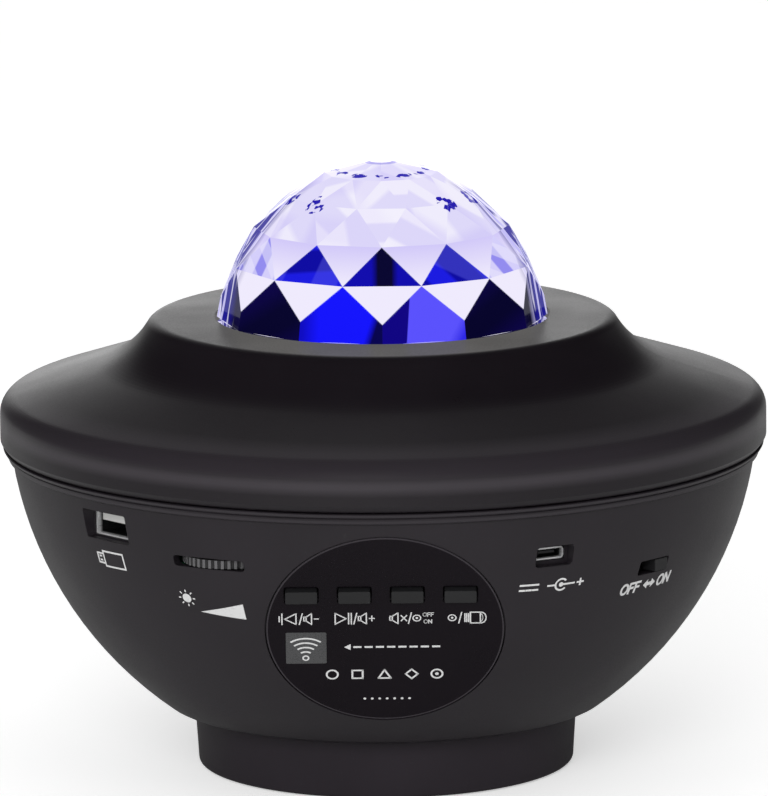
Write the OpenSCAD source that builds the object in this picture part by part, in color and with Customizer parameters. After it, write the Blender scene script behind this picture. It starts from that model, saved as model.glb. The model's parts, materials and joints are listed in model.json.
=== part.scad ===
// Star night light projector: a bowl-shaped base with a speaker in its foot, a wide brimmed cover
// and a faceted clear dome, under which a rippled lens turns over coloured lamps and a laser.
// Millimetres. The origin is under the middle of the foot, on the table; the controls face -Y.

/* [Walls] */
// Thickness of the moulded housing walls
wall = 2.4; // [2.1:0.1:2.7]
// Gap between neighbouring housing parts
seam_gap = 0.3; // [0.2:0.05:0.4]

/* [Foot] */
// Radius of the foot where it meets the bowl
foot_r = 42.1; // [40:0.1:45]
// Height of the foot
foot_h = 13.2; // [12:0.1:14.6]
// How much narrower the foot is at its lower edge
foot_draft = 0.8; // [0:0.1:1.5]
// Rounding of the foot's lower edge
foot_round = 1; // [0.6:0.2:3]
// Radius of one rubber pad
pad_r = 4.6; // [4.2:0.1:5]
// Thickness of one rubber pad
pad_t = 1.4; // [1.2:0.1:1.8]
// How far the pads stand below the foot
pad_proud = 0.3; // [0.2:0.1:0.8]
// Radius of one hole of the speaker grille
grille_hole_r = 1.2; // [0.8:0.1:1.5]
// Distance between the rings of grille holes
grille_pitch = 4.6; // [4.2:0.1:5]

/* [Bowl] */
// Rounding between the bowl and its flat underside
bowl_round = 8; // [4:0.5:10]
// How far the bowl's spherical outside lies inside the cover's rim
bowl_inset = 1.7; // [1.5:0.1:3.5]
// Radius where the bowl's sphere would meet its flat underside
bowl_floor_r = 47; // [45:0.1:49]
// Height of the bowl from its underside to its lip
bowl_h = 55.6; // [53.6:0.2:57.6]
// Height of the lip that carries the cover
lip_h = 2.6; // [2.2:0.1:3]
// How far the lip stands out from the bowl
lip_out = 2; // [1.6:0.1:2.2]
// Height of the tongue that enters the cover
tongue_h = 3; // [2:0.5:4]

/* [Cover] */
// Largest radius of the cover
rim_r = 84; // [80:0.5:90]
// Height of the cover's upright rim, to its theoretical corner
rim_h = 10.2; // [9.4:0.1:11.2]
// Rounding of the rim's upper corner
rim_round = 4.4; // [3:0.2:6]
// Slope of the brim, in degrees
brim_slope = 17.9; // [17:0.1:19]
// Width of the collar's flank, seen from above
collar_flank = 5.2; // [4.7:0.1:6.3]
// Height of the collar above the brim
collar_h = 8.1; // [7.6:0.1:9]
// Width of the collar's top, from the dome's opening to the collar's upper corner
collar_w = 14; // [13.7:0.1:14.5]
// Rounding of the collar's upper corner
collar_round = 3; // [3:0.2:4.2]
// Rounding of the hollow at the collar's foot
collar_sweep = 20; // [14:1:21]
// Rise of the collar's top towards the dome
crown = 0.3; // [0:0.1:0.8]
// Gap between the dome and the cover's opening
opening_gap = 0.5; // [0.4:0.1:1]

/* [Dome] */
// Radius of the sphere that the facets' corners lie on
dome_r = 36.2; // [34.2:0.2:38.2]
// Thickness of the dome at its corners
dome_wall = 3; // [2.6:0.1:3.4]
// How much the dome's crown rises above that sphere
dome_peak = 1.25; // [0:0.25:2]
// Depth of the sphere's centre below the cover's opening
dome_sink = 3.4; // [3:0.1:3.7]
// Facets round the dome
dome_sides = 12; // [12:2:16]
// How far the dome's flange stands out from the dome
flange_w = 3.4; // [2.4:0.1:3.6]
// Thickness of the dome's flange
flange_t = 2; // [1.5:0.1:2.4]
// Thickness of the ring that holds the dome
ring_t = 2; // [1.6:0.1:2.6]

/* [Control panel] */
// How far the panel's centre is above the middle of the bowl's height
panel_lift = 2.5; // [1.5:0.1:3.2]
// Radius of the flat face cut into the bowl
panel_r = 25.7; // [24.7:0.1:27]
// Thickness of the panel plate
panel_t = 1; // [0.8:0.1:1.4]
// Gap between neighbouring buttons
button_gap = 4.5; // [3.9:0.1:5.5]
// Height of one button
button_h = 3.3; // [3:0.1:3.8]
// Depth of the button row below the panel's upper edge
button_drop = 16.1; // [15.9:0.1:16.7]
// Travel of one button
button_travel = 0.5; // [0.3:0.1:0.6]
// How far a button stands out of the panel
button_proud = 0.9; // [0.6:0.1:1.2]
// Side of the square receiver window
window_w = 8.8; // [7.6:0.1:9.2]

/* [Side controls] */
// Direction of the USB-A socket, in degrees from the front
usb_az = -48.2; // [-50:0.2:-47]
// Height of the USB-A socket's centre above the main board
usb_rise = 6.6; // [6:0.1:7]
// Direction of the brightness wheel, in degrees from the front
wheel_az = -28.4; // [-29.2:0.2:-27.8]
// Radius of the brightness wheel
wheel_r = 10; // [9:0.1:10.4]
// Thickness of the brightness wheel
wheel_t = 1.8; // [1.5:0.1:2.1]
// Ridges round the brightness wheel
wheel_ridges = 44; // [30:2:56]
// How far the wheel stands out of the bowl
wheel_proud = 0.5; // [0.2:0.1:1.2]
// Direction of the micro USB socket, in degrees from the front
micro_az = 27.2; // [26.6:0.2:29]
// Height of the micro USB socket's centre above the main board
micro_rise = 2.8; // [2.5:0.1:3.2]
// Direction of the power switch, in degrees from the front
switch_az = 48.2; // [47.2:0.2:50]
// Width of the power switch's opening
switch_slot_w = 9.4; // [9.2:0.1:10.2]
// Width of the power switch's knob
knob_w = 4; // [3.4:0.1:4.4]
// Travel of the power switch
switch_travel = 4.4; // [3.6:0.1:4.4]

/* [Drive] */
// How far the rotor gear's pitch circle lies outside the lens
gear_rim = 1.8; // [1.6:0.1:2.3]
// Teeth of the rotor gear
rotor_teeth = 54; // [53:1:55]
// Teeth of the drive pinion
pinion_teeth = 12; // [11:1:14]
// Width of both gears
gear_w = 4.5; // [4:0.1:5]
// Play between the teeth, along the pitch circle
backlash = 0.3; // [0.2:0.05:0.4]
// How far the sleeve that the rotor turns on lies inside the lens
sleeve_inset = 4.6; // [4.2:0.1:4.8]
// Radial clearance of a turning fit
running_gap = 0.06; // [0.04:0.01:0.1]

/* [Lamps] */
// Gap between the rippled lens and the dome's hollow
lens_gap = 2.6; // [2.2:0.1:3.2]
// Thickness of the rippled lens
lens_t = 1.6; // [1.2:0.1:2]
// Radius of the star grating
grating_r = 4.6; // [4:0.1:5.2]
// How far the lamps' circle lies inside the lamp board's edge
lamp_inset = 9.2; // [8.6:0.1:9.8]
// Radius of the laser's barrel
laser_r = 4.9; // [4.4:0.1:5.2]

/* [Boards] */
// Thickness of the printed boards
board_t = 1.6; // [1.2:0.1:1.8]
// Depth of the main board's upper face below the seam
board_drop = 14.7; // [14.5:0.1:14.9]
// Gap between the main board and the bowl
board_gap = 1.4; // [1.1:0.1:1.9]

/* [Speaker] */
// Gap between the speaker's flange and the screw bosses of the foot
speaker_gap = 4.4; // [3.8:0.1:4.8]
// Width of the speaker's flange round the hole that it plays through
speaker_flange_w = 4; // [3.8:0.1:4.4]
// Depth of the speaker's basket
basket_h = 9.4; // [9.2:0.2:12]
// Radius of the speaker's magnet
magnet_r = 15; // [14:0.5:17]
// Largest excursion of the cone each way
cone_travel = 1; // [0.5:0.1:1.2]

/* [Hidden] */
$fn = 72;
eps = 0.01;
fit = 0.02;
clear = 0.3;

// Levels of the housing, from the table up
foot_z = pad_proud;
floor_z = foot_z + foot_h;
floor_top = floor_z + wall;
bowl_r = rim_r - bowl_inset;
bowl_rise = round(10 * sqrt(pow(bowl_r, 2) - pow(bowl_floor_r, 2))) / 10;
bowl_cz = floor_z + bowl_rise;
lip_z = floor_z + bowl_h;
seam_z = lip_z + lip_h;
rim_z = seam_z + seam_gap;
board_z = seam_z - board_drop;
rim_top = rim_z + rim_h;
opening_r = dome_r + opening_gap;
collar_r = opening_r + collar_w;
collar_foot_r = collar_r + collar_flank;
brim_drop = (rim_r - collar_foot_r) * tan(brim_slope);
collar_z = rim_top + brim_drop + collar_h;
opening_z = collar_z + crown;
dome_cz = opening_z - dome_sink;

function bowl_outer(z) = sqrt(pow(bowl_r, 2) - pow(bowl_cz - z, 2));
function bowl_inner(z) = sqrt(pow(bowl_r - wall, 2) - pow(bowl_cz - z, 2));

// Stack of the dome's fastening, from the cover down
dome_bore_r = dome_r - dome_wall;
flange_r = dome_r + flange_w;
flange_top = opening_z - wall - crown * (flange_r - opening_r) / collar_w - 0.03;
flange_z = flange_top - flange_t;
ring_z = flange_z - ring_t;
ring_r = flange_r + 6;
dome_screw_r = flange_r + 3.2;

// Chassis plate and what stands on it
plate_t = 2;
plate_z = ring_z - 16.9;
plate_top = plate_z + plate_t;
cover_boss_r = ring_r + 10.4;
plate_r = cover_boss_r + 4;
lens_r = dome_bore_r - lens_gap;
sleeve_r = lens_r - sleeve_inset;
lamp_board_r = sleeve_r - 2.8;
lamp_circle_r = lamp_board_r - lamp_inset;
plate_hole_r = lamp_board_r - 1.7;
housing_flange_t = 2.6;
gear_z = plate_top + housing_flange_t + clear;
gear_top = gear_z + gear_w;
clip_t = 0.8;
clip_z = gear_top + clear;
lens_cz = gear_top + 1.2;
post_inset = 5.7;
post_xy = (foot_r - wall - post_inset) / sqrt(2);
post_r = 4.2;
post_top = plate_z - 15.7;
frame_tab_t = 3;
frame_screw_l = 10;
sink_top = plate_top + 3;
lamp_board_top = sink_top + board_t;
lamp_h = 1.2;
lamp_lens_h = 5.5;
lamp_lens_r = 4.8;
lamp_screw_r = sleeve_r + 2.4;
lamp_screw_turn = 20;
laser_drop = 14;
laser_nose = 5;

// Gears
rotor_pitch_r = lens_r + gear_rim;
gear_module = 2 * rotor_pitch_r / rotor_teeth;
pinion_pitch_r = gear_module * pinion_teeth / 2;
gear_distance = rotor_pitch_r + pinion_pitch_r;
pressure_angle = 25;
addendum = 0.8 * gear_module;
dedendum = 1.1 * gear_module;
shaft_r = 1.5;
motor_collar_r = 3;
motor_box_r = 11;
motor_box_h = 7.2;
motor_can_r = 8.5;
motor_can_h = 12.8;
motor_ear = 14.5;

// Brightness wheel
wheel_z = board_z + 0.4 + clear + wheel_t / 2;
wheel_centre_r = bowl_outer(wheel_z) + wheel_proud - wheel_r;
wheel_side_x = wheel_centre_r * sin(-wheel_az) - wheel_r;
wheel_slot_w = 1.72 * wheel_r;
wheel_slot_h = wheel_t + 2 * clear;
axle_r = 1.6;

// Control panel stack, as distances from the bowl's centre along the panel's normal
panel_d = sqrt(pow(bowl_r, 2) - pow(panel_r, 2));
panel_z = (floor_z + lip_z) / 2 + panel_lift;
panel_tilt = asin((bowl_cz - panel_z) / panel_d);
plate_back_d = panel_d - panel_t;
slab_t = 2.5;
slab_back_d = plate_back_d - slab_t;
button_flange_t = 1.1;
button_pitch = (panel_r - 3.1) / 2;
button_w = button_pitch - button_gap;
button_row = panel_r - button_drop;
button_back_d = slab_back_d - clear - button_flange_t;
button_xs = [for (k = [-1.5:1:1.5]) k * button_pitch - 0.85];
tact_top_d = button_back_d - button_travel - 0.1;
tact_body_h = 3.5;
tact_plunger_h = 0.8;
control_face_d = tact_top_d - tact_plunger_h - tact_body_h;
control_board_w = 2 * (wheel_side_x - 1.2);
control_board_v0 = 9.7 - panel_r;
control_board_v1 = panel_r - 7.7;
control_posts = [for (u = [-12, 12], v = [control_board_v0 + 3, control_board_v1 - 3]) [u, v]];
window_u = 8.8 - panel_r;
window_v = -5.1;
panel_gap = 0.35;

// How far behind the front a plane of the panel's frame, at distance d from the centre, is at height z
function panel_y(d, z) = -(d + (z - bowl_cz) * sin(panel_tilt)) / cos(panel_tilt);

// Main board: a D-shaped board whose front is cut back to clear the control board
board_under = board_z - board_t;
board_r = bowl_inner(board_under) - board_gap;
board_back_y = -max(post_xy + post_r + 0.6, 0.4218 * board_r);
board_front_y = panel_y(control_face_d - board_t, board_under) + 2.85;
capacitor_r = 3.1;
capacitor_h = 8;
capacitor_x = 22;
capacitor_setback = 8.5;
side_post_y = board_back_y - 4;
side_post_x = sqrt(pow(board_r - 6.6, 2) - pow(side_post_y, 2));
inner_post = [control_board_w / 2 + 6, board_back_y - 9];
board_posts = [for (s = [-1, 1], p = [[side_post_x, side_post_y], inner_post]) [s * p[0], p[1]]];

// USB-A socket
usb_z = board_z + usb_rise;
usb_w = 13.1;
usb_h = 5.7;
usb_depth = 14;
usb_front_r = bowl_outer(usb_z) - 3.3;
usb_wall = 0.4;

// Micro USB socket
micro_z = board_z + micro_rise;
micro_w = 7.5;
micro_h = 2.6;
micro_depth = 5.6;
micro_front_r = bowl_outer(micro_z) - 3.4;
micro_wall = 0.35;

// Power switch
switch_h = 3.6;
switch_z = board_under - switch_h / 2;
switch_slot_h = 3.2;
switch_front_r = bowl_inner(switch_z) - 1.6;
switch_d = 4;
knob_h = 2.6;
knob_front_r = bowl_outer(switch_z) + 0.2;

// Fasteners
base_boss_r = foot_r - wall - 5.2;
base_boss_w = 3.6;
screw_m3 = 1.45;
screw_m2 = 0.95;

// Speaker, playing downwards from the bowl's floor
speaker_r = base_boss_r - base_boss_w - speaker_gap;
speaker_hole_r = speaker_r - speaker_flange_w;
speaker_flange_t = 1;
basket_z = floor_top + speaker_flange_t;
motor_z = basket_z + basket_h - 0.8;
pole_r = 5.8;
coil_r = 6.8;
coil_t = 0.5;
gap_r = 7.6;
cone_r = speaker_hole_r - 4.2;
roll_r = 1.5;
surround_t = 0.4;
speaker_screw_r = (speaker_hole_r + speaker_r) / 2;

// A point of a circle in a profile
function polar(c, r, a) = [c[0] + r * cos(a), c[1] + r * sin(a)];

// An arc of a profile from angle a0 to a1, in n steps
function arc(c, r, a0, a1, n) = [for (i = [0:n]) polar(c, r, a0 + (a1 - a0) * i / n)];

// The direction from p to q, in degrees
function heading(p, q) = atan2(q[1] - p[1], q[0] - p[0]);

// Where the line through p in direction a meets the line through q in direction b
function meet(p, a, q, b) =
    let (t = ((q[0] - p[0]) * sin(b) - (q[1] - p[1]) * cos(b)) / sin(b - a))
    [p[0] + t * cos(a), p[1] + t * sin(a)];

// The corner q of a path p-q-s rounded by radius r, as an arc of n steps
function rounded(p, q, s, r, n) =
    let (
        a = heading(p, q),
        b = heading(q, s),
        turn = b - a,
        side = turn > 0 ? 1 : -1,
        reach = r * tan(abs(turn) / 2),
        start = [q[0] - reach * cos(a), q[1] - reach * sin(a)],
        centre = polar(start, r, a + 90 * side)
    )
    arc(centre, r, a - 90 * side, b - 90 * side, n);

// Corners of the cover's outside, from the opening to the rim's lower edge, moved inwards by inset
cover_corners = [
    [opening_r, opening_z], [collar_r, collar_z],
    [collar_foot_r, rim_top + brim_drop], [rim_r, rim_top], [rim_r, rim_z]
];
function side_line(i, inset) =
    let (a = heading(cover_corners[i], cover_corners[i + 1]))
    [polar(cover_corners[i], inset, a - 90), a];
function inset_corner(i, inset) =
    let (m = side_line(i - 1, inset), n = side_line(i, inset)) meet(m[0], m[1], n[0], n[1]);
function cover_line(inset) =
    let (
        first = [opening_r, side_line(0, inset)[0][1]],
        p = [for (i = [1:3]) inset_corner(i, inset)],
        last = [rim_r - inset, rim_z]
    )
    concat(
        [first],
        rounded(first, p[0], p[1], collar_round - inset, 8),
        rounded(p[0], p[1], p[2], collar_sweep + inset, 14),
        rounded(p[1], p[2], last, rim_round - inset, 10),
        [last]
    );
function reversed(v) = [for (i = [len(v) - 1:-1:0]) v[i]];

// Points of one involute gear, with its first tooth on +X
function involute_swing(base_r, r) =
    let (a = acos(min(1, base_r / r))) tan(a) * 180 / PI - a;
function gear_points(teeth) =
    let (
        pitch_r = gear_module * teeth / 2,
        base_r = pitch_r * cos(pressure_angle),
        tip_r = pitch_r + addendum,
        root_r = pitch_r - dedendum,
        half = 90 / teeth - backlash / pitch_r * 45 / PI + involute_swing(base_r, pitch_r),
        start_r = max(base_r, root_r + 0.1 * gear_module),
        radii = [root_r, start_r, (start_r + tip_r) / 2, tip_r],
        halves = [for (r = radii) half - (r > base_r ? involute_swing(base_r, r) : 0)]
    )
    [for (k = [0:teeth - 1])
        each concat(
            [for (i = [0:3]) polar([0, 0], radii[i], k * 360 / teeth - halves[i])],
            [for (i = [3:-1:0]) polar([0, 0], radii[i], k * 360 / teeth + halves[i])]
        )];

// Turns children from the front to a direction; their outward side stays -Y
module at_azimuth(a) {
    rotate([0, 0, a]) children();
}

// Places children at radius r and height z in a direction, with their outward side along -Y
module on_bowl(a, r, z) {
    at_azimuth(a) translate([0, -r, z]) children();
}

// Panel frame: X to the right, Y up the panel, Z outwards from the bowl's centre
module panel_frame() {
    translate([0, 0, bowl_cz]) rotate([90 + panel_tilt, 0, 0]) children();
}

// Repeats children at n directions on a circle
module around(n, r, first = 0) {
    for (k = [0:n - 1]) rotate([0, 0, first + k * 360 / n]) translate([r, 0, 0]) children();
}

// Repeats children at the four corners of a square of half side s
module corners(s) {
    for (x = [-1, 1], y = [-1, 1]) translate([x * s, y * s, 0]) children();
}

module tube(r_out, r_in, z0, z1) {
    difference() {
        translate([0, 0, z0]) cylinder(r = r_out, h = z1 - z0);
        translate([0, 0, z0 - 1]) cylinder(r = r_in, h = z1 - z0 + 2);
    }
}

module rod(r, z0, z1) {
    translate([0, 0, z0]) cylinder(r = r, h = z1 - z0);
}

// A block centred across X, from y0 to y1 and z0 to z1
module block(w, y0, y1, z0, z1) {
    translate([-w / 2, y0, z0]) cube([w, y1 - y0, z1 - z0]);
}

// A pan-head screw whose head rests at z = 0 and whose shank points up
module screw(r, length) {
    head_r = r * 1.9;
    head_h = r * 1.5;
    difference() {
        union() {
            rod(r, 0, length);
            rod(head_r, -head_h, 0);
        }
        for (a = [0, 90]) rotate([0, 0, a]) block(r * 0.5, -r * 1.2, r * 1.2, -head_h - 1, -head_h + r * 0.8);
    }
}

// A rectangle with rounded corners, centred
module rounded_rect(w, h, r) {
    square([w - 2 * r, h], center = true);
    square([w, h - 2 * r], center = true);
    for (x = [-1, 1], y = [-1, 1]) translate([x * (w / 2 - r), y * (h / 2 - r)]) circle(r = r);
}

// An upright plate with the outline of rounded_rect, from z0 to z1
module slug(w, h, r, z0, z1) {
    translate([0, 0, z0]) linear_extrude(z1 - z0) rounded_rect(w, h, r);
}

// An opening seen along -Y, from y0 to y1
module window(w, h, r, y0, y1) {
    translate([0, y1, 0]) rotate([90, 0, 0]) slug(w, h, r, 0, y1 - y0);
}

// The solid of revolution under a line parallel to the cover's outside
module under_cover(inset) {
    line = cover_line(inset);
    rotate_extrude() polygon(concat([[0, rim_z], [0, line[0][1]]], line));
}

module top_cover() {
    outside = concat(
        [for (p = cover_line(0)) if (p[1] > rim_z + 1.3) p],
        [[rim_r, rim_z + 1.3], [rim_r - 0.9, rim_z]]
    );
    color("#26262a") difference() {
        union() {
            rotate_extrude() polygon(concat(outside, reversed(cover_line(wall))));
            intersection() {
                under_cover(wall / 2);
                union() {
                    around(4, cover_boss_r, 45) rod(3.6, plate_top + fit, collar_z);
                    around(6, dome_screw_r, 30) rod(2.5, flange_z + fit, opening_z);
                }
            }
        }
        around(4, cover_boss_r, 45) rod(screw_m3 + fit, plate_top - 1, plate_top + 7.5);
        around(6, dome_screw_r, 30) rod(screw_m2 + fit, flange_z - 1, flange_z + 3);
    }
}

module bowl_sphere(r) {
    translate([0, 0, bowl_cz]) sphere(r = r, $fn = 144);
}

// What the rounding takes off the edge between the bowl's sphere and its flat underside. The rounding's
// circle stands a hair out of the sphere where they meet, so that the two surfaces cross cleanly.
module bowl_edge_cut() {
    small = bowl_r - bowl_round;
    drop = bowl_rise - bowl_round;
    centre_r = sqrt(pow(small, 2) - pow(drop, 2));
    meet_z = bowl_cz - bowl_r * drop / small;
    stand = 0.03 / small;
    rotate_extrude() difference() {
        translate([centre_r, floor_z - 1]) square([12, meet_z - floor_z + 1]);
        translate([centre_r * (1 + stand), floor_z + bowl_round - eps - drop * stand])
            circle(r = bowl_round, $fn = 144);
    }
}

// The bowl's wall, with the lip and the tongue that the cover closes over
module bowl_wall() {
    lip_r = bowl_outer(lip_z);
    difference() {
        union() {
            intersection() {
                bowl_sphere(bowl_r);
                rod(rim_r, floor_z, lip_z + 1);
            }
            rotate_extrude() polygon([
                [60, lip_z], [lip_r + 0.25 * lip_out, lip_z], [lip_r + 0.45 * lip_out, lip_z + 0.3],
                [lip_r + 0.6 * lip_out, lip_z + lip_h * 0.5], [lip_r + 0.5 * lip_out, lip_z + lip_h * 0.58],
                [lip_r + 0.8 * lip_out, lip_z + lip_h * 0.66],
                [lip_r + lip_out, seam_z - 0.2], [lip_r + lip_out - 0.2, seam_z], [60, seam_z]
            ]);
            rod(rim_r - wall - 0.25, seam_z - eps, seam_z + tongue_h);
        }
        intersection() {
            bowl_sphere(bowl_r - wall);
            rod(rim_r, floor_top, seam_z - 2);
        }
        rod(bowl_inner(seam_z - 2), seam_z - 2 - eps, seam_z + tongue_h + 1);
        bowl_edge_cut();
    }
}

// Posts, bosses and socket frames inside the bowl
module bowl_posts() {
    corners(post_xy) rod(post_r, floor_z, post_top);
    around(4, base_boss_r) rod(base_boss_w, floor_z, floor_top + 5);
    for (p = board_posts) translate([p[0], p[1], 0]) intersection() {
        rod(3, floor_z, board_under - fit);
        translate([-p[0], -p[1], 0]) bowl_sphere(bowl_r - wall / 2);
    }
    panel_frame() {
        intersection() {
            rod(sqrt(pow(bowl_r - wall, 2) - pow(slab_back_d, 2)) + 0.8, slab_back_d, plate_back_d + 0.4);
            sphere(r = bowl_r - 0.4);
        }
        for (p = control_posts) translate([p[0], p[1], 0]) rod(2.2, control_face_d + fit, slab_back_d + 1);
    }
    intersection() {
        bowl_sphere(bowl_r - 1);
        union() {
            on_bowl(usb_az, usb_front_r, usb_z) block(usb_w + 5, -4, 2.2, -usb_h / 2 - 2, usb_h / 2 + 2);
            on_bowl(micro_az, micro_front_r, micro_z)
                block(micro_w + 4.6, -4, 1.8, -micro_h / 2 - 1.5, micro_h / 2 + 2.6);
        }
    }
}

// Openings of the panel: buttons and receiver window
module panel_openings() {
    for (x = button_xs) translate([x, button_row, 0])
        slug(button_w + 0.6, button_h + 0.6, 0.5, slab_back_d - 1, panel_d + 1);
    translate([window_u, window_v, 0]) {
        slug(window_w, window_w, 0.4, plate_back_d - 1, panel_d + 1);
        slug(window_w - 2.4, window_w - 2.4, 0.4, slab_back_d - 1, panel_d + 1);
    }
}

// Openings in the bowl for the sockets, the wheel and the switch
module side_openings() {
    on_bowl(usb_az, usb_front_r, usb_z) {
        window(usb_w + 0.7, usb_h + 0.7, 0.4, -8, -0.4);
        window(usb_w + 0.2, usb_h + 0.2, 0.3, -9, 4);
    }
    on_bowl(micro_az, micro_front_r, micro_z) {
        window(micro_w + 1.4, micro_h + 2, 0.8, -8, -0.4);
        window(micro_w + 0.2, micro_h + 0.2, 0.3, -9, 4);
    }
    on_bowl(wheel_az, wheel_centre_r, wheel_z) window(wheel_slot_w, wheel_slot_h, 0.8, -14, -wheel_r * 0.45);
    on_bowl(switch_az, switch_front_r, switch_z) window(switch_slot_w, switch_slot_h, 0.5, -8, -0.4);
}

module bottom_shell() {
    color("#202024") difference() {
        union() {
            bowl_wall();
            bowl_posts();
        }
        panel_frame() {
            rod(panel_r, plate_back_d, bowl_r + 9);
            panel_openings();
            for (p = control_posts) translate([p[0], p[1], 0])
                rod(screw_m2 + fit, control_face_d - 1, control_face_d + 5);
        }
        side_openings();
        rod(speaker_hole_r, floor_z - 1, floor_top + 1);
        corners(post_xy) {
            rod(3.1, floor_z - 1, post_top - frame_tab_t);
            rod(screw_m3 + 0.15, floor_z, post_top + 1);
        }
        around(4, base_boss_r) rod(screw_m3 + fit, floor_z - 1, floor_top + 4);
        around(4, speaker_screw_r, 45) rod(screw_m2 + fit, floor_z + 0.4, floor_top + 1);
        for (p = board_posts) translate([p[0], p[1], 0])
            rod(screw_m2 + fit, board_under - 6, board_under + 1);
    }
}

module base_cover() {
    low_r = foot_r - foot_draft;
    centre = [low_r - foot_round, foot_z + foot_round];
    color("#242428") difference() {
        union() {
            rotate_extrude() polygon(concat(
                [[0, foot_z]], arc(centre, foot_round, -90, 0, 8), [[foot_r, floor_z - fit]],
                [[foot_r - wall, floor_z - fit], [low_r - wall, foot_z + wall], [0, foot_z + wall]]
            ));
            around(4, base_boss_r) rod(base_boss_w, foot_z + 1, floor_z - fit);
        }
        around(4, base_boss_r) {
            rod(screw_m3 * 1.9 + 0.3, foot_z - 1, floor_z - 4);
            rod(screw_m3 + 0.15, foot_z, floor_z + 1);
        }
        around(4, base_boss_r, 45) rod(pad_r, foot_z - 1, foot_z + pad_t - pad_proud);
        for (k = [1:4]) around(6 * k, k * grille_pitch) rod(grille_hole_r, foot_z - 1, foot_z + wall + 1);
        rod(grille_hole_r, foot_z - 1, foot_z + wall + 1);
    }
}

module rubber_feet() {
    color("#151517") around(4, base_boss_r, 45) rod(pad_r - 0.1, 0, pad_t - fit);
}

module control_panel() {
    color("#17171a") panel_frame() difference() {
        rod(panel_r - panel_gap, plate_back_d + fit, panel_d);
        for (x = button_xs) translate([x, button_row, 0])
            slug(button_w + 0.6, button_h + 1.3, 0.5, plate_back_d - 1, panel_d + 1);
        translate([window_u, window_v, 0]) slug(window_w, window_w, 0.4, plate_back_d - 1, panel_d + 1);
    }
}

module ir_window() {
    color("#3c3c42") panel_frame() translate([window_u, window_v, 0])
        slug(window_w - 0.1, window_w - 0.1, 0.35, plate_back_d - 1 + fit, panel_d + 0.05);
}

module button_at(i) {
    panel_frame() translate([button_xs[i], button_row, 0]) {
        slug(button_w, button_h, 0.4, button_back_d + eps, panel_d + button_proud);
        slug(button_w + 1.8, button_h + 1.8, 0.4, button_back_d, button_back_d + button_flange_t);
    }
}

module button_previous() {
    color("#38383d") button_at(0);
}

module button_play() {
    color("#38383d") button_at(1);
}

module button_mute() {
    color("#38383d") button_at(2);
}

module button_mode() {
    color("#38383d") button_at(3);
}

module control_board() {
    color("#1e5a34") panel_frame() difference() {
        translate([-control_board_w / 2, control_board_v0, control_face_d - board_t])
            cube([control_board_w, control_board_v1 - control_board_v0, board_t]);
        for (p = control_posts) translate([p[0], p[1], 0])
            rod(screw_m2 + 0.1, control_face_d - board_t - 1, control_face_d + 1);
    }
}

module tact_switches() {
    color("#b9bcc2") panel_frame() for (x = button_xs) translate([x, button_row, 0]) {
        slug(6, 6, 0.3, control_face_d + fit, control_face_d + tact_body_h);
        rod(1.6, control_face_d + tact_body_h - eps, tact_top_d);
    }
}

module ir_receiver() {
    color("#141216") panel_frame() translate([window_u, window_v, 0]) {
        slug(5.6, 5.6, 0.4, control_face_d + fit, control_face_d + 5);
        translate([0, 0, control_face_d + 5 - eps]) intersection() {
            sphere(r = 2);
            rod(3, 0, 3);
        }
    }
}

// Corners of one ring of the dome: n points at a latitude, the first turned by first steps
function dome_point_z(lat) = dome_r * sin(lat) + dome_peak * max(0, sin(lat) - 0.77) / 0.23;
function dome_ring_points(lat, first) = [for (k = [0:dome_sides - 1])
    let (a = (k + first) * 360 / dome_sides)
    [dome_r * cos(lat) * cos(a), dome_r * cos(lat) * sin(a), dome_point_z(lat)]];

// The faceted outside of the dome: upright five-sided panes below, triangles above
module dome_gem() {
    n = dome_sides;
    lats = [11.8, 24.8, 39.5, 55.5, 70];
    step = 180 / n;
    tilt = atan((cos(lats[0]) * cos(step) - cos(lats[1])) / (sin(lats[1]) - sin(lats[0])));
    pane = dome_r * cos(lats[1] - tilt);
    base_z = dome_sink - 0.25;
    base_r = (pane - base_z * sin(tilt)) / (cos(step) * cos(tilt));
    top_r = 2.4;
    top_z = dome_r + dome_peak - 0.08;
    points = concat(
        [for (k = [0:n - 1]) [base_r * cos(2 * step * k), base_r * sin(2 * step * k), base_z]],
        dome_ring_points(lats[0], 0), dome_ring_points(lats[1], 0.5), dome_ring_points(lats[2], 0),
        dome_ring_points(lats[3], 0.5), dome_ring_points(lats[4], 0),
        [for (k = [0:n - 1]) [top_r * cos(2 * step * k), top_r * sin(2 * step * k), top_z]]
    );
    faces = concat(
        [[for (k = [0:n - 1]) k]],
        [for (k = [0:n - 1]) let (m = (k + 1) % n) [k, n + k, 2 * n + k, n + m, m]],
        [for (k = [0:n - 1]) let (m = (k + 1) % n) [n + m, 2 * n + k, 2 * n + m]],
        [for (k = [0:n - 1]) let (m = (k + 1) % n) [2 * n + m, 2 * n + k, 3 * n + m]],
        [for (k = [0:n - 1]) let (m = (k + 1) % n) [2 * n + k, 3 * n + k, 3 * n + m]],
        [for (k = [0:n - 1]) let (m = (k + 1) % n) [3 * n + k, 4 * n + k, 3 * n + m]],
        [for (k = [0:n - 1]) let (m = (k + 1) % n) [3 * n + m, 4 * n + k, 4 * n + m]],
        [for (k = [0:n - 1]) let (m = (k + 1) % n) [4 * n + m, 4 * n + k, 5 * n + m]],
        [for (k = [0:n - 1]) let (m = (k + 1) % n) [4 * n + k, 5 * n + k, 5 * n + m]],
        [for (k = [0:n - 1]) let (m = (k + 1) % n) [5 * n + k, 6 * n + k, 6 * n + m, 5 * n + m]],
        [[for (k = [n - 1:-1:0]) 6 * n + k]]
    );
    rotate([0, 0, 90]) polyhedron(points = points, faces = faces);
}

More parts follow.
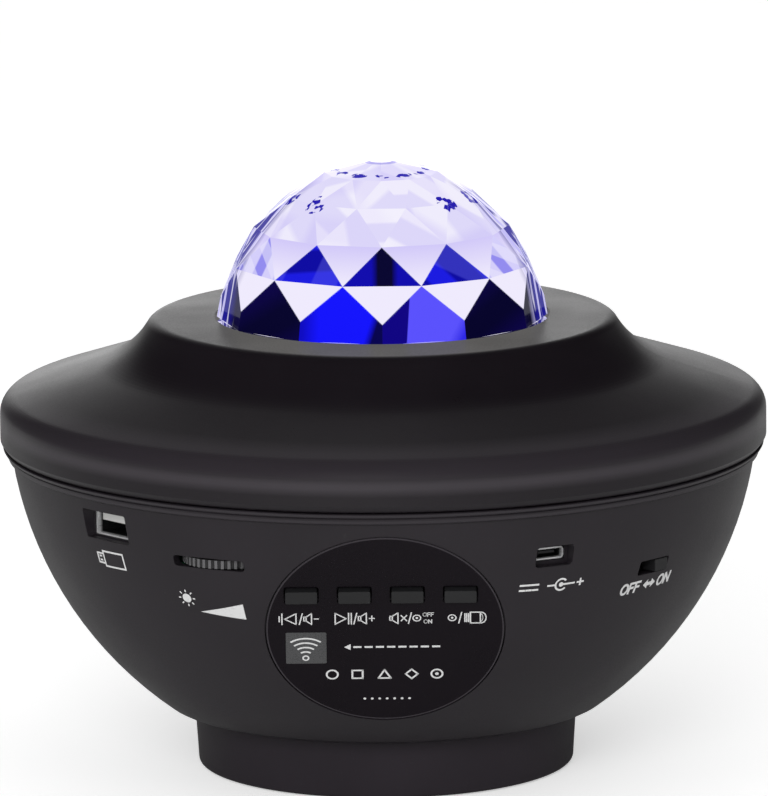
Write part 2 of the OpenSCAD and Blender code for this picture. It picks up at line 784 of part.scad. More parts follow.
module crystal_dome() {
    color("#9fb4ff", 0.5) difference() {
        union() {
            translate([0, 0, dome_cz]) dome_gem();
            rod(dome_r - 0.9, flange_z, opening_z - 0.2);
            rod(flange_r, flange_z, flange_top);
        }
        translate([0, 0, dome_cz]) sphere(r = dome_bore_r, $fn = 96);
        rod(dome_bore_r, flange_z - 1, dome_cz);
    }
}

module dome_ring() {
    color("#2c2c30") difference() {
        tube(ring_r, dome_bore_r + 0.8, ring_z, flange_z - fit);
        around(6, dome_screw_r, 30) rod(screw_m2 + 0.1, ring_z - 1, flange_z + 1);
    }
}

// Half section of the rippled lens, from its rim to its crown
function ripple_r(a) = lens_r - 0.3 + 0.3 * cos(a * 40);

module wave_lens() {
    outside = [for (a = [0:1.8:90]) polar([0, lens_cz], ripple_r(a), a)];
    inner_r = lens_r - lens_t;
    seat_z = gear_top - 0.8 + fit;
    hub_z = lens_cz + inner_r - 1.4;
    color("#dfe8ff", 0.5) difference() {
        union() {
            rotate_extrude() polygon(concat([[0, seat_z], [lens_r, seat_z]], outside));
        }
        difference() {
            union() {
                translate([0, 0, lens_cz]) sphere(r = inner_r, $fn = 96);
                rod(inner_r, seat_z - 1, lens_cz);
            }
            rod(grating_r + 1.8, hub_z, lens_cz + lens_r);
        }
        rod(grating_r - 0.8, hub_z - 1, lens_cz + lens_r + 1);
        rod(grating_r + fit, lens_cz + lens_r - 1.4, lens_cz + lens_r + 1);
    }
}

module star_grating() {
    color("#7fe0a8") rod(grating_r, lens_cz + lens_r - 1.4 + fit, lens_cz + lens_r - 0.4);
}

module rotor_gear() {
    color("#e9e9e6") difference() {
        translate([0, 0, gear_z]) linear_extrude(gear_w) polygon(gear_points(rotor_teeth));
        rod(sleeve_r + running_gap, gear_z - 1, gear_top + 1);
        tube(lens_r + 0.04, lens_r - lens_t - 0.04, gear_top - 0.8, gear_top + 1);
    }
}

module rotor_clip() {
    color("#c9ccd2") difference() {
        tube(sleeve_r + 2, sleeve_r - 0.8 + fit, clip_z, clip_z + clip_t);
        translate([0, -sleeve_r, clip_z - 1]) block(7, -4, 4, 0, clip_t + 2);
    }
}

pinion_turn = 270 + 90 * rotor_teeth / pinion_teeth + 180 / pinion_teeth;

module drive_pinion() {
    color("#f2efe2") translate([0, gear_distance, 0]) difference() {
        union() {
            translate([0, 0, gear_z]) rotate([0, 0, pinion_turn]) linear_extrude(gear_w)
                polygon(gear_points(pinion_teeth));
            rod(3.4, gear_top - eps, gear_top + 1.6);
        }
        rod(shaft_r + fit, gear_z - 1, gear_top + 3);
    }
}

module motor_shaft() {
    color("#c3c7ce") translate([0, gear_distance, 0]) rod(shaft_r, plate_z - 5, gear_top + 2);
}

module gear_motor() {
    color("#b5b8bd") translate([0, gear_distance, 0]) difference() {
        union() {
            rod(motor_box_r, plate_z - motor_box_h, plate_z - fit);
            rod(motor_collar_r, plate_z - 1, plate_top);
            translate([0, 0, -1.5]) block(2 * motor_ear, -3.2, 3.2, plate_z, plate_z + 1.5 - fit);
            for (s = [-1, 1]) translate([s * motor_ear, 0, 0]) rod(3.2, plate_z - 1.5, plate_z - fit);
            rod(motor_can_r, plate_z - motor_box_h - motor_can_h, plate_z - motor_box_h + 1);
            rod(3.2, plate_z - motor_box_h - motor_can_h - 1.4, plate_z - motor_box_h);
        }
        for (s = [-1, 1]) translate([s * motor_ear, 0, 0]) rod(screw_m2 + 0.1, plate_z - 3, plate_z + 1);
        rod(shaft_r + running_gap, plate_z - 5.3, plate_top + 1);
    }
}

module lamp_housing() {
    bore = lamp_board_r + 0.2;
    flange_out = rotor_pitch_r - 1.4;
    top = clip_z + clip_t + 0.8;
    color("#3a3a40") difference() {
        rotate_extrude() polygon([
            [bore, plate_top + fit], [flange_out, plate_top + fit],
            [flange_out, plate_top + housing_flange_t],
            [sleeve_r, plate_top + housing_flange_t], [sleeve_r, clip_z - fit],
            [sleeve_r - 0.8, clip_z - fit], [sleeve_r - 0.8, clip_z + clip_t + fit],
            [sleeve_r - 0.2, clip_z + clip_t + fit], [sleeve_r - 0.2, top], [bore - 1.6, top],
            [bore - 1.6, lamp_board_top + fit], [bore, lamp_board_top + fit]
        ]);
        around(4, lamp_screw_r, lamp_screw_turn) rod(screw_m2 + fit, plate_top - 1, plate_top + 2);
    }
}

module heat_sink() {
    color("#a9adb3") difference() {
        union() {
            rod(lamp_board_r, plate_top + fit, sink_top);
            rod(plate_hole_r - 0.6, plate_z - 12, plate_top + 1);
        }
        rod(laser_r + fit, plate_z - 13, sink_top + 1);
        for (x = [-18:4.5:18]) translate([x, 0, 0]) block(2.9, -30, 30, plate_z - 13, plate_z - 1);
    }
}

module led_board() {
    color("#e8e8e4") difference() {
        rod(lamp_board_r, sink_top + fit, lamp_board_top);
        rod(laser_r + 0.4, sink_top - 1, lamp_board_top + 1);
    }
}

module led_emitters() {
    color("#fff3c4") around(6, lamp_circle_r) {
        block(5, -2.5, 2.5, lamp_board_top + fit, lamp_board_top + 0.8);
        rod(2, lamp_board_top + 0.5, lamp_board_top + lamp_h);
    }
}

module led_lenses() {
    color("#e6f0ff", 0.6) around(6, lamp_circle_r) difference() {
        intersection() {
            rod(lamp_lens_r, lamp_board_top + fit, lamp_board_top + lamp_lens_h);
            translate([0, 0, lamp_board_top - 3]) sphere(r = 9, $fn = 48);
        }
        rod(3.9, lamp_board_top - 1, lamp_board_top + lamp_h + 0.3);
    }
}

module laser_module() {
    color("#b08d4c") difference() {
        union() {
            rod(laser_r, plate_z - laser_drop, lamp_board_top + laser_nose);
            rod(laser_r - 1.2, plate_z - laser_drop - 3, lamp_board_top + laser_nose + 1.5);
        }
        rod(2.6, lamp_board_top + laser_nose - 1, lamp_board_top + laser_nose + 3);
        rod(1.4, lamp_board_top - 6, lamp_board_top + 8);
    }
}

module laser_lens() {
    color("#8fd6ff") rod(2.6 - fit, lamp_board_top + laser_nose - 1 + fit, lamp_board_top + laser_nose + 0.4);
}

module chassis_plate() {
    color("#45454b") difference() {
        union() {
            rod(plate_r, plate_z, plate_top);
            corners(post_xy) rod(post_r, post_top + fit, plate_z + 1);
        }
        rod(plate_hole_r, plate_z - 1, plate_top + 1);
        translate([0, gear_distance, 0]) {
            rod(motor_collar_r + 0.15, plate_z - 1, plate_top + 1);
            for (s = [-1, 1]) translate([s * motor_ear, 0, 0])
                rod(screw_m2 + fit, plate_z - 1, plate_top + 1);
        }
        around(4, cover_boss_r, 45) rod(screw_m3 + 0.15, plate_z - 1, plate_top + 1);
        around(4, lamp_screw_r, lamp_screw_turn) rod(screw_m2 + 0.1, plate_z - 1, plate_top + 1);
        corners(post_xy) rod(screw_m3 + fit, post_top - 1, post_top + 8);
        for (a = [0, 180, 270]) rotate([0, 0, a]) translate([plate_r - 13, 0, 0])
            slug(9, 24, 4, plate_z - 1, plate_top + 1);
    }
}

module main_board() {
    color("#1f6138") difference() {
        rod(board_r, board_under, board_z);
        translate([-100, board_back_y, board_under - 1]) cube([200, 200, board_t + 2]);
        block(control_board_w + 6, -100, board_front_y, board_under - 1, board_z + 1);
        for (p = board_posts) translate([p[0], p[1], 0]) rod(screw_m2 + 0.1, board_under - 1, board_z + 1);
    }
}

module board_chips() {
    color("#18181a") {
        translate([-10, board_front_y + 7.5, 0]) block(9, -4.5, 4.5, board_z + fit, board_z + 1.6);
        translate([0.544 * board_r, -0.612 * board_r, 0]) block(7, -3.5, 3.5, board_z + fit, board_z + 1.5);
        on_bowl(usb_az, usb_front_r - usb_depth - 5.1, 0) block(5, -2.5, 2.5, board_z + fit, board_z + 1.4);
        translate([0.463 * board_r, -0.68 * board_r, 0]) block(3, -2, 2, board_z + fit, board_z + 1.1);
    }
}

module radio_module() {
    color("#9da2a8") {
        translate([11, board_front_y + 9.5, 0]) {
            block(15, -7, 7, board_z + fit, board_z + 0.9);
            block(12, -6, 4, board_z + 0.8, board_z + 2.8);
        }
    }
}

module capacitors() {
    color("#2f3a66") {
        translate([-capacitor_x, board_front_y + capacitor_setback, 0])
            rod(capacitor_r, board_z + fit, board_z + capacitor_h);
        translate([inner_post[0] - 5, board_back_y - 5, 0]) rod(capacitor_r, board_z + fit, board_z + capacitor_h);
        translate([inner_post[0] + 9, board_back_y - 5, 0])
            rod(1.3 * capacitor_r, board_z + fit, board_z + 1.25 * capacitor_h);
    }
}

module connectors() {
    back_y = board_back_y - 4;
    side = [-inner_post[0] - 6, inner_post[1] - 3, 2];
    color("#e6e2d3") for (p = [[-16, back_y, 3], [-4, back_y, 4], [10, back_y, 2], side]) {
        w = 2.4 + 2.5 * p[2];
        translate([p[0], p[1], board_z]) difference() {
            block(w, -2.9, 2.9, fit, 6);
            block(w - 1.4, -2.2, 2.2, 1.2, 7);
        }
    }
}

module brightness_wheel() {
    color("#2e2e33") on_bowl(wheel_az, wheel_centre_r, wheel_z) difference() {
        rod(wheel_r, -wheel_t / 2, wheel_t / 2);
        rod(axle_r + running_gap, -wheel_t, wheel_t);
        around(wheel_ridges, wheel_r + 0.1) cylinder(r = 0.42, h = wheel_t + 2, center = true, $fn = 12);
    }
}

module dimmer_base() {
    low = board_z + fit - wheel_z;
    color("#4a4238") on_bowl(wheel_az, wheel_centre_r, wheel_z) {
        rod(4.4, low, -wheel_t / 2 - clear);
        block(8, 0, 9, low, -wheel_t / 2 - clear);
        rod(axle_r, low, wheel_t / 2 + clear + 0.5);
        rod(2.7, wheel_t / 2 + clear, wheel_t / 2 + clear + 1);
    }
}

module switch_body() {
    color("#33333a") on_bowl(switch_az, switch_front_r, switch_z) difference() {
        block(12, 0, switch_d, -switch_h / 2, switch_h / 2 - fit);
        block(3 + switch_travel + 1, -1, 2.4, -0.9, 0.9);
    }
}

module switch_slider() {
    reach = knob_front_r - switch_front_r;
    color("#d9d9dc") on_bowl(switch_az, switch_front_r, switch_z) translate([switch_travel / 2, 0, 0]) {
        block(3, -0.9, 2, -0.6, 0.6);
        block(knob_w, -reach, -0.8, -knob_h / 2, knob_h / 2);
    }
}

module usb_a_shell() {
    color("#cfd2d6") on_bowl(usb_az, usb_front_r, usb_z) difference() {
        window(usb_w, usb_h, 0.3, 0, usb_depth);
        window(usb_w - 2 * usb_wall, usb_h - 2 * usb_wall, 0.15, -1, usb_depth + 1);
    }
}

module usb_a_tongue() {
    low = board_z + fit - usb_z;
    inner = usb_h / 2 - usb_wall - fit;
    color("#f4f4f2") on_bowl(usb_az, usb_front_r, usb_z) {
        block(11.1, 1, 9.5, 0.2, 2.05);
        block(usb_w - 2 * usb_wall - 0.1, 9, usb_depth + 0.2, -inner, inner);
        block(11, usb_depth + 0.05, usb_depth + 1.6, low, inner);
        block(11, 4, usb_depth + 1.6, low, -usb_h / 2 - fit);
    }
}

module micro_usb_shell() {
    color("#cfd2d6") on_bowl(micro_az, micro_front_r, micro_z) difference() {
        window(micro_w, micro_h, 0.7, 0, micro_depth);
        window(micro_w - 2 * micro_wall, micro_h - 2 * micro_wall, 0.4, -1, micro_depth + 1);
    }
}

module micro_usb_tongue() {
    low = board_z + fit - micro_z;
    inner = micro_h / 2 - micro_wall - fit;
    color("#1b1b1d") on_bowl(micro_az, micro_front_r, micro_z) {
        block(4, 0.8, 4, -0.1, 0.5);
        block(5.4, 3.8, micro_depth + 0.2, -inner, inner);
        block(5.4, micro_depth + 0.05, micro_depth + 1.2, low, inner);
        block(6, 2.6, micro_depth + 1.2, low, -micro_h / 2 - fit);
    }
}

module speaker_frame() {
    throat = magnet_r - 1;
    top = motor_z;
    inner = speaker_hole_r - 1.1;
    color("#2a2a2d") difference() {
        rotate_extrude() polygon([
            [inner, floor_top + fit], [speaker_r, floor_top + fit],
            [speaker_r, basket_z], [inner + 1, basket_z],
            [throat + 1.4, top - 0.8], [throat + 1.4, top], [9, top], [9, top - 0.9], [throat, top - 0.9],
            [inner, basket_z - 0.2]
        ]);
        around(4, magnet_r + 3) block(12, -5.5, 5.5, basket_z + 1.6, top - 1.6);
        around(4, speaker_screw_r, 45) rod(screw_m2 + 0.1, floor_top - 1, basket_z + 1);
    }
}

module speaker_magnet() {
    color("#5a5d63") {
        tube(magnet_r - 0.6, gap_r, motor_z + fit, motor_z + 1.8);
        tube(magnet_r, gap_r + 1.4, motor_z + 1.7, motor_z + 6.6);
        rod(magnet_r - 0.6, motor_z + 6.5, motor_z + 8.5);
        rod(pole_r, motor_z - 0.4, motor_z + 7);
    }
}

module speaker_surround() {
    roll_centre = cone_r + clear + roll_r;
    z = floor_top - surround_t;
    color("#19191b") rotate_extrude() {
        difference() {
            translate([roll_centre, z]) circle(r = roll_r);
            translate([roll_centre, z]) circle(r = roll_r - surround_t);
            translate([roll_centre - 5, z]) square([10, 5]);
        }
        translate([roll_centre + roll_r - surround_t, z - eps])
            square([speaker_hole_r - 0.3 - roll_centre - roll_r + surround_t, surround_t]);
    }
}

module speaker_cone() {
    cap_r = 12;
    cap_z = motor_z - 2.6;
    color("#202023") {
        rotate_extrude() polygon([
            [cone_r, floor_top - 0.6], [cone_r, floor_top],
            [coil_r + 0.5, motor_z - 2.4], [coil_r, motor_z - 2.4],
            [coil_r, motor_z - 3], [cone_r - 0.6, floor_top - 0.6]
        ]);
        intersection() {
            translate([0, 0, cap_z + 9]) difference() {
                sphere(r = cap_r);
                sphere(r = cap_r - 0.5);
            }
            rod(coil_r + 0.4, floor_top - 2, cap_z - 0.6);
        }
    }
}

module voice_coil() {
    color("#b5652f") tube(coil_r - fit, coil_r - coil_t, motor_z - 3 + fit, motor_z + 2.4 + cone_travel);
}

module base_screws() {
    color("#8f9298") around(4, base_boss_r) translate([0, 0, floor_z - 4]) screw(screw_m3, 9.2);
}

module frame_screws() {
    color("#8f9298") corners(post_xy) translate([0, 0, post_top - frame_tab_t]) screw(screw_m3, frame_screw_l);
}

module cover_screws() {
    color("#8f9298") around(4, cover_boss_r, 45) translate([0, 0, plate_z - fit])
        screw(screw_m3, plate_t + 6.5);
}

module dome_screws() {
    color("#8f9298") around(6, dome_screw_r, 30) translate([0, 0, ring_z - fit])
        screw(screw_m2, ring_t + 2.7);
}

module lamp_screws() {
    color("#8f9298") around(4, lamp_screw_r, lamp_screw_turn) translate([0, 0, plate_z - fit])
        screw(screw_m2, plate_t + 1.8);
}

module motor_screws() {
    color("#8f9298") for (s = [-1, 1]) translate([s * motor_ear, gear_distance, plate_z - 1.5 - fit])
        screw(screw_m2, plate_t + 1.3);
}

module board_screws() {
    color("#8f9298") {
        for (p = board_posts) translate([p[0], p[1], board_z + fit]) mirror([0, 0, 1])
            screw(screw_m2, board_t + 4.5);
        panel_frame() for (p = control_posts) translate([p[0], p[1], control_face_d - board_t - fit])
            screw(screw_m2, board_t + 4.4);
    }
}

module speaker_screws() {
    color("#8f9298") around(4, speaker_screw_r, 45) translate([0, 0, basket_z + fit]) mirror([0, 0, 1])
        screw(screw_m2, speaker_flange_t + wall - 0.6);
}

top_cover();
bottom_shell();
base_cover();
rubber_feet();
control_panel();
crystal_dome();
dome_ring();
wave_lens();
star_grating();
rotor_gear();
rotor_clip();
drive_pinion();
motor_shaft();
gear_motor();
lamp_housing();
heat_sink();
led_board();
led_emitters();
led_lenses();
laser_module();
laser_lens();
chassis_plate();
main_board();
board_chips();
radio_module();
capacitors();
connectors();
control_board();
tact_switches();
ir_receiver();
ir_window();
button_previous();
button_play();
button_mute();
button_mode();
brightness_wheel();
dimmer_base();
switch_body();
switch_slider();
usb_a_shell();
usb_a_tongue();
micro_usb_shell();
micro_usb_tongue();
speaker_frame();
speaker_magnet();
speaker_surround();
speaker_cone();
voice_coil();
base_screws();
frame_screws();
cover_screws();
dome_screws();
lamp_screws();
motor_screws();
board_screws();
speaker_screws();
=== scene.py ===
"""Looks of the star night light projector: camera, studio, materials and printed signs."""

import json
import math

import bmesh
import bpy
from mathutils import Matrix, Vector


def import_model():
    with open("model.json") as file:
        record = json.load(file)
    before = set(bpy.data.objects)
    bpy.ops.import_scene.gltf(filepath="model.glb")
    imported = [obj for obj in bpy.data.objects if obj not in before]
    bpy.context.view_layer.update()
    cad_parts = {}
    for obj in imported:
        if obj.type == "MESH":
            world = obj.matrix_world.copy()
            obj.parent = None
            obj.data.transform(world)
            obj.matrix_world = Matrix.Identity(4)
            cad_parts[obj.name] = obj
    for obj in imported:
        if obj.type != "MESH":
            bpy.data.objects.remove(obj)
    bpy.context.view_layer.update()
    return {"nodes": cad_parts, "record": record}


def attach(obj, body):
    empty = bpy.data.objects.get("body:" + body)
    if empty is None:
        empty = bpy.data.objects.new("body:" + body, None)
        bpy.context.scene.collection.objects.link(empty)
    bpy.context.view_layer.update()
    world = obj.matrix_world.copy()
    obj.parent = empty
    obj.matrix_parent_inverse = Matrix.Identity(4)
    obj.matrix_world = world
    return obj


MM = 0.001

# Geometry that the printed signs, the painted highlights on edges and the dome's colours follow, in
# millimetres and degrees
BOWL_R = 82.3
BOWL_CENTRE_Z = 81.1
PANEL_TILT = 28.495
PANEL_FACE = 78.184
PANEL_R = 25.7
WINDOW_FACE = PANEL_FACE + 0.05
DOME_R = 36.2
DOME_CENTRE_Z = 96.276
DOME_CROWN = 1.25
CROWN_STARTS = 0.77
PANE_TIP_LAT = 24.8
TRIANGLE_TIP_LAT = 39.5
RIM_TOP_Z = 82.2
RIM_TURN_Z = RIM_TOP_Z - 4.6
BRIM_EDGE_Z = RIM_TOP_Z - 0.4
SEAM_Z = 71.7
LIP_EDGES_Z = (SEAM_Z - 0.5, SEAM_Z - 2.0)
WHEEL_AZIMUTH = -28.4
WHEEL_CENTRE_R = 69.7
WHEEL_R = 10.0

# Both sockets: azimuth, distance of the mouth from the axis, height, and half the shell's width and height
SOCKETS = ((-48.2, 77.12, 63.6, 6.35, 2.65), (27.2, 76.1, 59.8, 3.57, 1.12))

# How far behind their mouths the painted shade in the shells begins, and where it is full
SHELL_DARKENS = (0.7, 1.4)

# Camera, found from the object's outline
TARGET = (0.0, 0.0, 80.9)
ELEVATION = 10.8
ROLL = -0.52
DISTANCE = 2200.0
LENS = 453.7
SENSOR = 36.0
SHIFT_X = 0.0012

# Printed signs: how far they stand off the plastic, and the longest edge of their triangles
INK_LIFT = 0.05
LONGEST_EDGE = 1.6

# Studio: the lamp in metres and watts, half the floor's width in metres, and its drop in millimetres
LIGHT_AT = (-0.18, -1.2, 0.48)
LIGHT_AIM = (0.0, 0.0, 0.08)
LIGHT_SIZE = 0.6
LIGHT_POWER = 9.0
FLOOR_HALF = 3.0
FLOOR_DROP = 0.02
FLOOR_GLOW = 0.45

# Level of the surround as light, and as gloss sees it by the sine of the height over the horizon
ROOM_LEVEL = 0.6
GLOSS_BY_HEIGHT = (
    (0.0, 1.0), (0.17, 0.9), (0.30, 0.24), (0.50, 0.14), (0.74, 0.12), (0.90, 0.05), (1.0, 0.03)
)

# Share of that towards the back and away from the middle: from here, to there, share here, share there
GLOSS_BEHIND = (0.15, 0.75, 0.12, 1.0)
GLOSS_ASIDE = (0.05, 0.32, 1.75, 0.06)
GLOSS_MIDDLE = -0.04

# Greys of the floor's paper, and what gloss sees of it
PAPER = ((0.93, 0.93, 0.93), (0.96, 0.96, 0.96))
PAPER_IN_GLOSS = (0.6, 0.6, 0.6)


# ---------------------------------------------------------------- shading tools


class Graph:
    """The node tree of one material, or of the world, built socket by socket."""

    def __init__(self, owner):
        self.owner = owner
        owner.use_nodes = True
        self.tree = owner.node_tree
        self.tree.nodes.clear()

    def put(self, socket, value):
        if isinstance(value, bpy.types.NodeSocket):
            self.tree.links.new(value, socket)
        elif socket.type == "RGBA" and len(value) == 3:
            socket.default_value = (*value, 1.0)
        else:
            socket.default_value = value

    def add(self, kind, out=0, args=(), props=None, **inputs):
        node = self.tree.nodes.new("ShaderNode" + kind)
        for key, value in (props or {}).items():
            setattr(node, key, value)
        for i, value in enumerate(args):
            if value is not None:
                self.put(node.inputs[i], value)
        self.put_named(node, inputs)
        return node.outputs[out]

    def put_named(self, node, inputs):
        for key, value in inputs.items():
            self.put(node.inputs[key.replace("_", " ")], value)

    def math(self, operation, *args):
        return self.add("Math", args=args, props={"operation": operation})

    def vector(self, operation, *args, out=0):
        return self.add("VectorMath", out=out, args=args, props={"operation": operation})

    def here(self):
        return self.add("TexCoord", out="Object")

    def noise(self, scale, detail, where=None):
        return self.add("TexNoise", Vector=where or self.here(), Scale=scale, Detail=detail)

    def span(self, value, low, high, out_low=0.0, out_high=1.0):
        """out_low where value is low, out_high where it is high, and even between."""
        return self.add("MapRange", args=(value, low, high, out_low, out_high))

    def ramp(self, value, stops):
        """Grey levels given as (value, level), from 0 to 1."""
        node = self.tree.nodes.new("ShaderNodeValToRGB")
        elements = node.color_ramp.elements
        for place, level in stops:
            stop = elements[0] if place == 0.0 else elements[-1] if place == 1.0 else elements.new(place)
            stop.color = (level, level, level, 1.0)
        self.put(node.inputs[0], value)
        return node.outputs[0]

    def mix(self, factor, a, b):
        node = self.tree.nodes.new("ShaderNodeMix")
        node.data_type = "RGBA"
        node.clamp_factor = True
        self.put(node.inputs[0], factor)
        self.put(node.inputs[6], a)
        self.put(node.inputs[7], b)
        return node.outputs[2]

    def between(self, value, low, high):
        """1 where value lies between low and high, else 0."""
        above = self.math("GREATER_THAN", value, low)
        return self.math("MULTIPLY", above, self.math("LESS_THAN", value, high))

    def seen(self):
        """1 for what the camera sees, straight or through glass."""
        paths = (self.add("LightPath", out=ray) for ray in ("Is Camera Ray", "Is Transmission Ray"))
        return self.math("MAXIMUM", *paths)

    def bump(self, height, distance, strength, edge=0.0):
        """A relief over edges softened to the radius edge."""
        inputs = {"Height": height, "Distance": distance, "Strength": strength}
        if edge:
            inputs["Normal"] = self.add("Bevel", Radius=edge)
        return self.add("Bump", **inputs)

    def finish(self, **inputs):
        """Ends a material with one shader."""
        node = self.tree.nodes.new("ShaderNodeBsdfPrincipled")
        self.put_named(node, inputs)
        end = self.tree.nodes.new("ShaderNodeOutputMaterial")
        self.tree.links.new(node.outputs[0], end.inputs[0])
        return self.owner


def new_material(name):
    """The graph of a new material."""
    return Graph(bpy.data.materials.new(name))


def scaled(colour, k):
    return tuple(c * k for c in colour)


SOFT_BLACK = (0.012, 0.012, 0.013)

# Plastic: how fine its cloudiness, grain and dust are, and how much of the colour of dust it takes
CLOUD_SCALE = 38.0
GRAIN_SCALE = 2600.0
DUST_SCALE = 900.0
DUST_MOST = 0.25

# What the tin of a circuit board's pads looks like
TIN = (0.62, 0.6, 0.52)


# ---------------------------------------------------------------- materials


def moulded(name, colour, rough, grain=0.5, edge=0.25, wear=0.12, shine=0.5, painted_highlight=None):
    """Spark-eroded plastic: fine grain, faint cloudiness, softened edges.

    The last argument is a mask function and the lighter colour of the painted highlight that it puts there.
    """
    g = new_material(name)
    cloud = g.noise(CLOUD_SCALE, 4.0)
    fine = g.noise(GRAIN_SCALE, 2.0)
    specks = g.noise(DUST_SCALE, 1.0)
    tone = g.span(cloud, 0.3, 0.7, 1.0 - wear, 1.0 + wear)
    body = g.mix(g.span(cloud, 0.3, 0.7), scaled(colour, 1.0 - wear), scaled(colour, 1.0 + wear))
    dust = g.math("MULTIPLY", g.span(specks, 0.72, 0.8), DUST_MOST)
    body = g.mix(dust, body, scaled((1.0, 1.0, 1.05), max(colour) * 2.2))
    # Painted highlight: where the mask is 1 the plastic takes the lighter colour given with it
    if painted_highlight:
        mask, highlight_colour = painted_highlight
        body = g.mix(mask(g), body, highlight_colour)
    roughness = g.math("MULTIPLY", g.span(fine, 0.2, 0.8, rough - 0.05, rough + 0.05), tone)
    relief = g.math("ADD", g.math("MULTIPLY", fine, grain), g.math("MULTIPLY", cloud, 0.6))
    return g.finish(
        Base_Color=body,
        Roughness=roughness,
        Specular_IOR_Level=shine,
        Normal=g.bump(relief, 0.03 * MM, 0.5, edge * MM),
    )


def band(g, middle, full, end, most=1.0):
    """most within full millimetres of the height middle, fading to 0 at end millimetres."""
    height = g.add("SeparateXYZ", out=2, Vector=g.here())
    off = g.math("ABSOLUTE", g.math("SUBTRACT", height, middle * MM))
    return g.span(off, full * MM, end * MM, most, 0.0)


def rim_highlight(g):
    """Painted highlight where the cover's upright rim turns into the brim, and a weaker one on the brim's
    edge above.
    """
    return g.math("MAXIMUM", band(g, RIM_TURN_Z, 0.4, 2.2), band(g, BRIM_EDGE_Z, 2.0, 3.6, 0.6))


def lip_edges(g):
    """Painted highlight on the two thin edges of the bowl's lip."""
    upper, lower = LIP_EDGES_Z
    return g.math("MAXIMUM", band(g, upper, 0.25, 0.35), band(g, lower, 0.25, 0.4))


def panel_edge(g):
    """1 on the thin edge of the control panel, where a painted highlight goes."""
    tilt = math.radians(PANEL_TILT)
    middle = (0.0, -PANEL_FACE * math.cos(tilt) * MM, (BOWL_CENTRE_Z - PANEL_FACE * math.sin(tilt)) * MM)
    away = g.vector("DISTANCE", g.here(), middle, out="Value")
    return g.span(away, (PANEL_R - 0.7) * MM, (PANEL_R - 0.6) * MM)


def wheel_ridges(g):
    """1 on the flats between the thumbwheel's grooves, where a painted highlight goes."""
    a = math.radians(WHEEL_AZIMUTH)
    axis = (WHEEL_CENTRE_R * math.sin(a) * MM, -WHEEL_CENTRE_R * math.cos(a) * MM, 0.0)
    level = g.vector("MULTIPLY", g.here(), (1.0, 1.0, 0.0))
    away = g.vector("DISTANCE", level, axis, out="Value")
    return g.span(away, (WHEEL_R - 0.16) * MM, (WHEEL_R - 0.05) * MM)


def shell_inside(g):
    """1 inside the two sockets' shells, from a little behind their mouths, where painted shade goes."""
    start, end = (depth * MM for depth in SHELL_DARKENS)
    found = []
    for azimuth, mouth, z, half_w, half_h in SOCKETS:
        a = math.radians(azimuth)
        centre = (mouth * math.sin(a) * MM, -mouth * math.cos(a) * MM, z * MM)
        offset = g.vector("SUBTRACT", g.here(), centre)
        across = g.vector("DOT_PRODUCT", offset, (math.cos(a), math.sin(a), 0.0), out="Value")
        depth = g.vector("DOT_PRODUCT", offset, (-math.sin(a), math.cos(a), 0.0), out="Value")
        above = g.add("SeparateXYZ", out=2, Vector=offset)
        in_width = g.between(across, -half_w * MM, half_w * MM)
        in_height = g.between(above, -half_h * MM, half_h * MM)
        inside = g.math("MULTIPLY", in_width, in_height)
        found.append(g.math("MULTIPLY", inside, g.span(depth, start, end)))
    return g.math("MAXIMUM", *found)


def rubber(name, colour):
    """Dull, finely pitted rubber or paper."""
    g = new_material(name)
    fine = g.noise(3800.0, 3.0)
    cloud = g.noise(120.0, 3.0)
    body = g.mix(g.span(cloud, 0.3, 0.7), scaled(colour, 0.8), scaled(colour, 1.35))
    return g.finish(
        Base_Color=body,
        Roughness=g.span(fine, 0.2, 0.8, 0.7, 0.9),
        Specular_IOR_Level=0.3,
        Normal=g.bump(fine, 0.05 * MM, 0.6, 0.2 * MM),
    )


def brushed(name, colour, rough, stretch=(1.0, 1.0, 22.0), metallic=1.0, painted_shade=None):
    """Metal with fine lines drawn across one direction, and faint staining.

    The last argument is a mask function and the darker colour of the painted shade that it puts there.
    """
    g = new_material(name)
    where = g.vector("MULTIPLY", g.here(), stretch)
    lines = g.noise(700.0, 3.0, where=where)
    stain = g.noise(90.0, 3.0)
    body = g.mix(g.span(stain, 0.35, 0.7), colour, scaled(colour, 0.82))
    # Painted shade: where the mask is 1 the metal takes the darker colour given with it
    if painted_shade:
        mask, shade_colour = painted_shade
        body = g.mix(mask(g), body, shade_colour)
    return g.finish(
        Base_Color=body,
        Metallic=metallic,
        Roughness=g.span(lines, 0.25, 0.75, rough - 0.07, rough + 0.1),
        Normal=g.bump(lines, 0.012 * MM, 0.5, 0.08 * MM),
    )


def enamel(name, colour, rough):
    """Painted or coated metal with slight orange peel."""
    g = new_material(name)
    peel = g.noise(420.0, 2.0)
    cloud = g.noise(60.0, 3.0)
    body = g.mix(g.span(cloud, 0.3, 0.7), scaled(colour, 0.88), scaled(colour, 1.1))
    return g.finish(
        Base_Color=body,
        Roughness=g.span(peel, 0.2, 0.8, rough - 0.05, rough + 0.08),
        Coat_Weight=0.15,
        Normal=g.bump(peel, 0.04 * MM, 0.4, 0.12 * MM),
    )


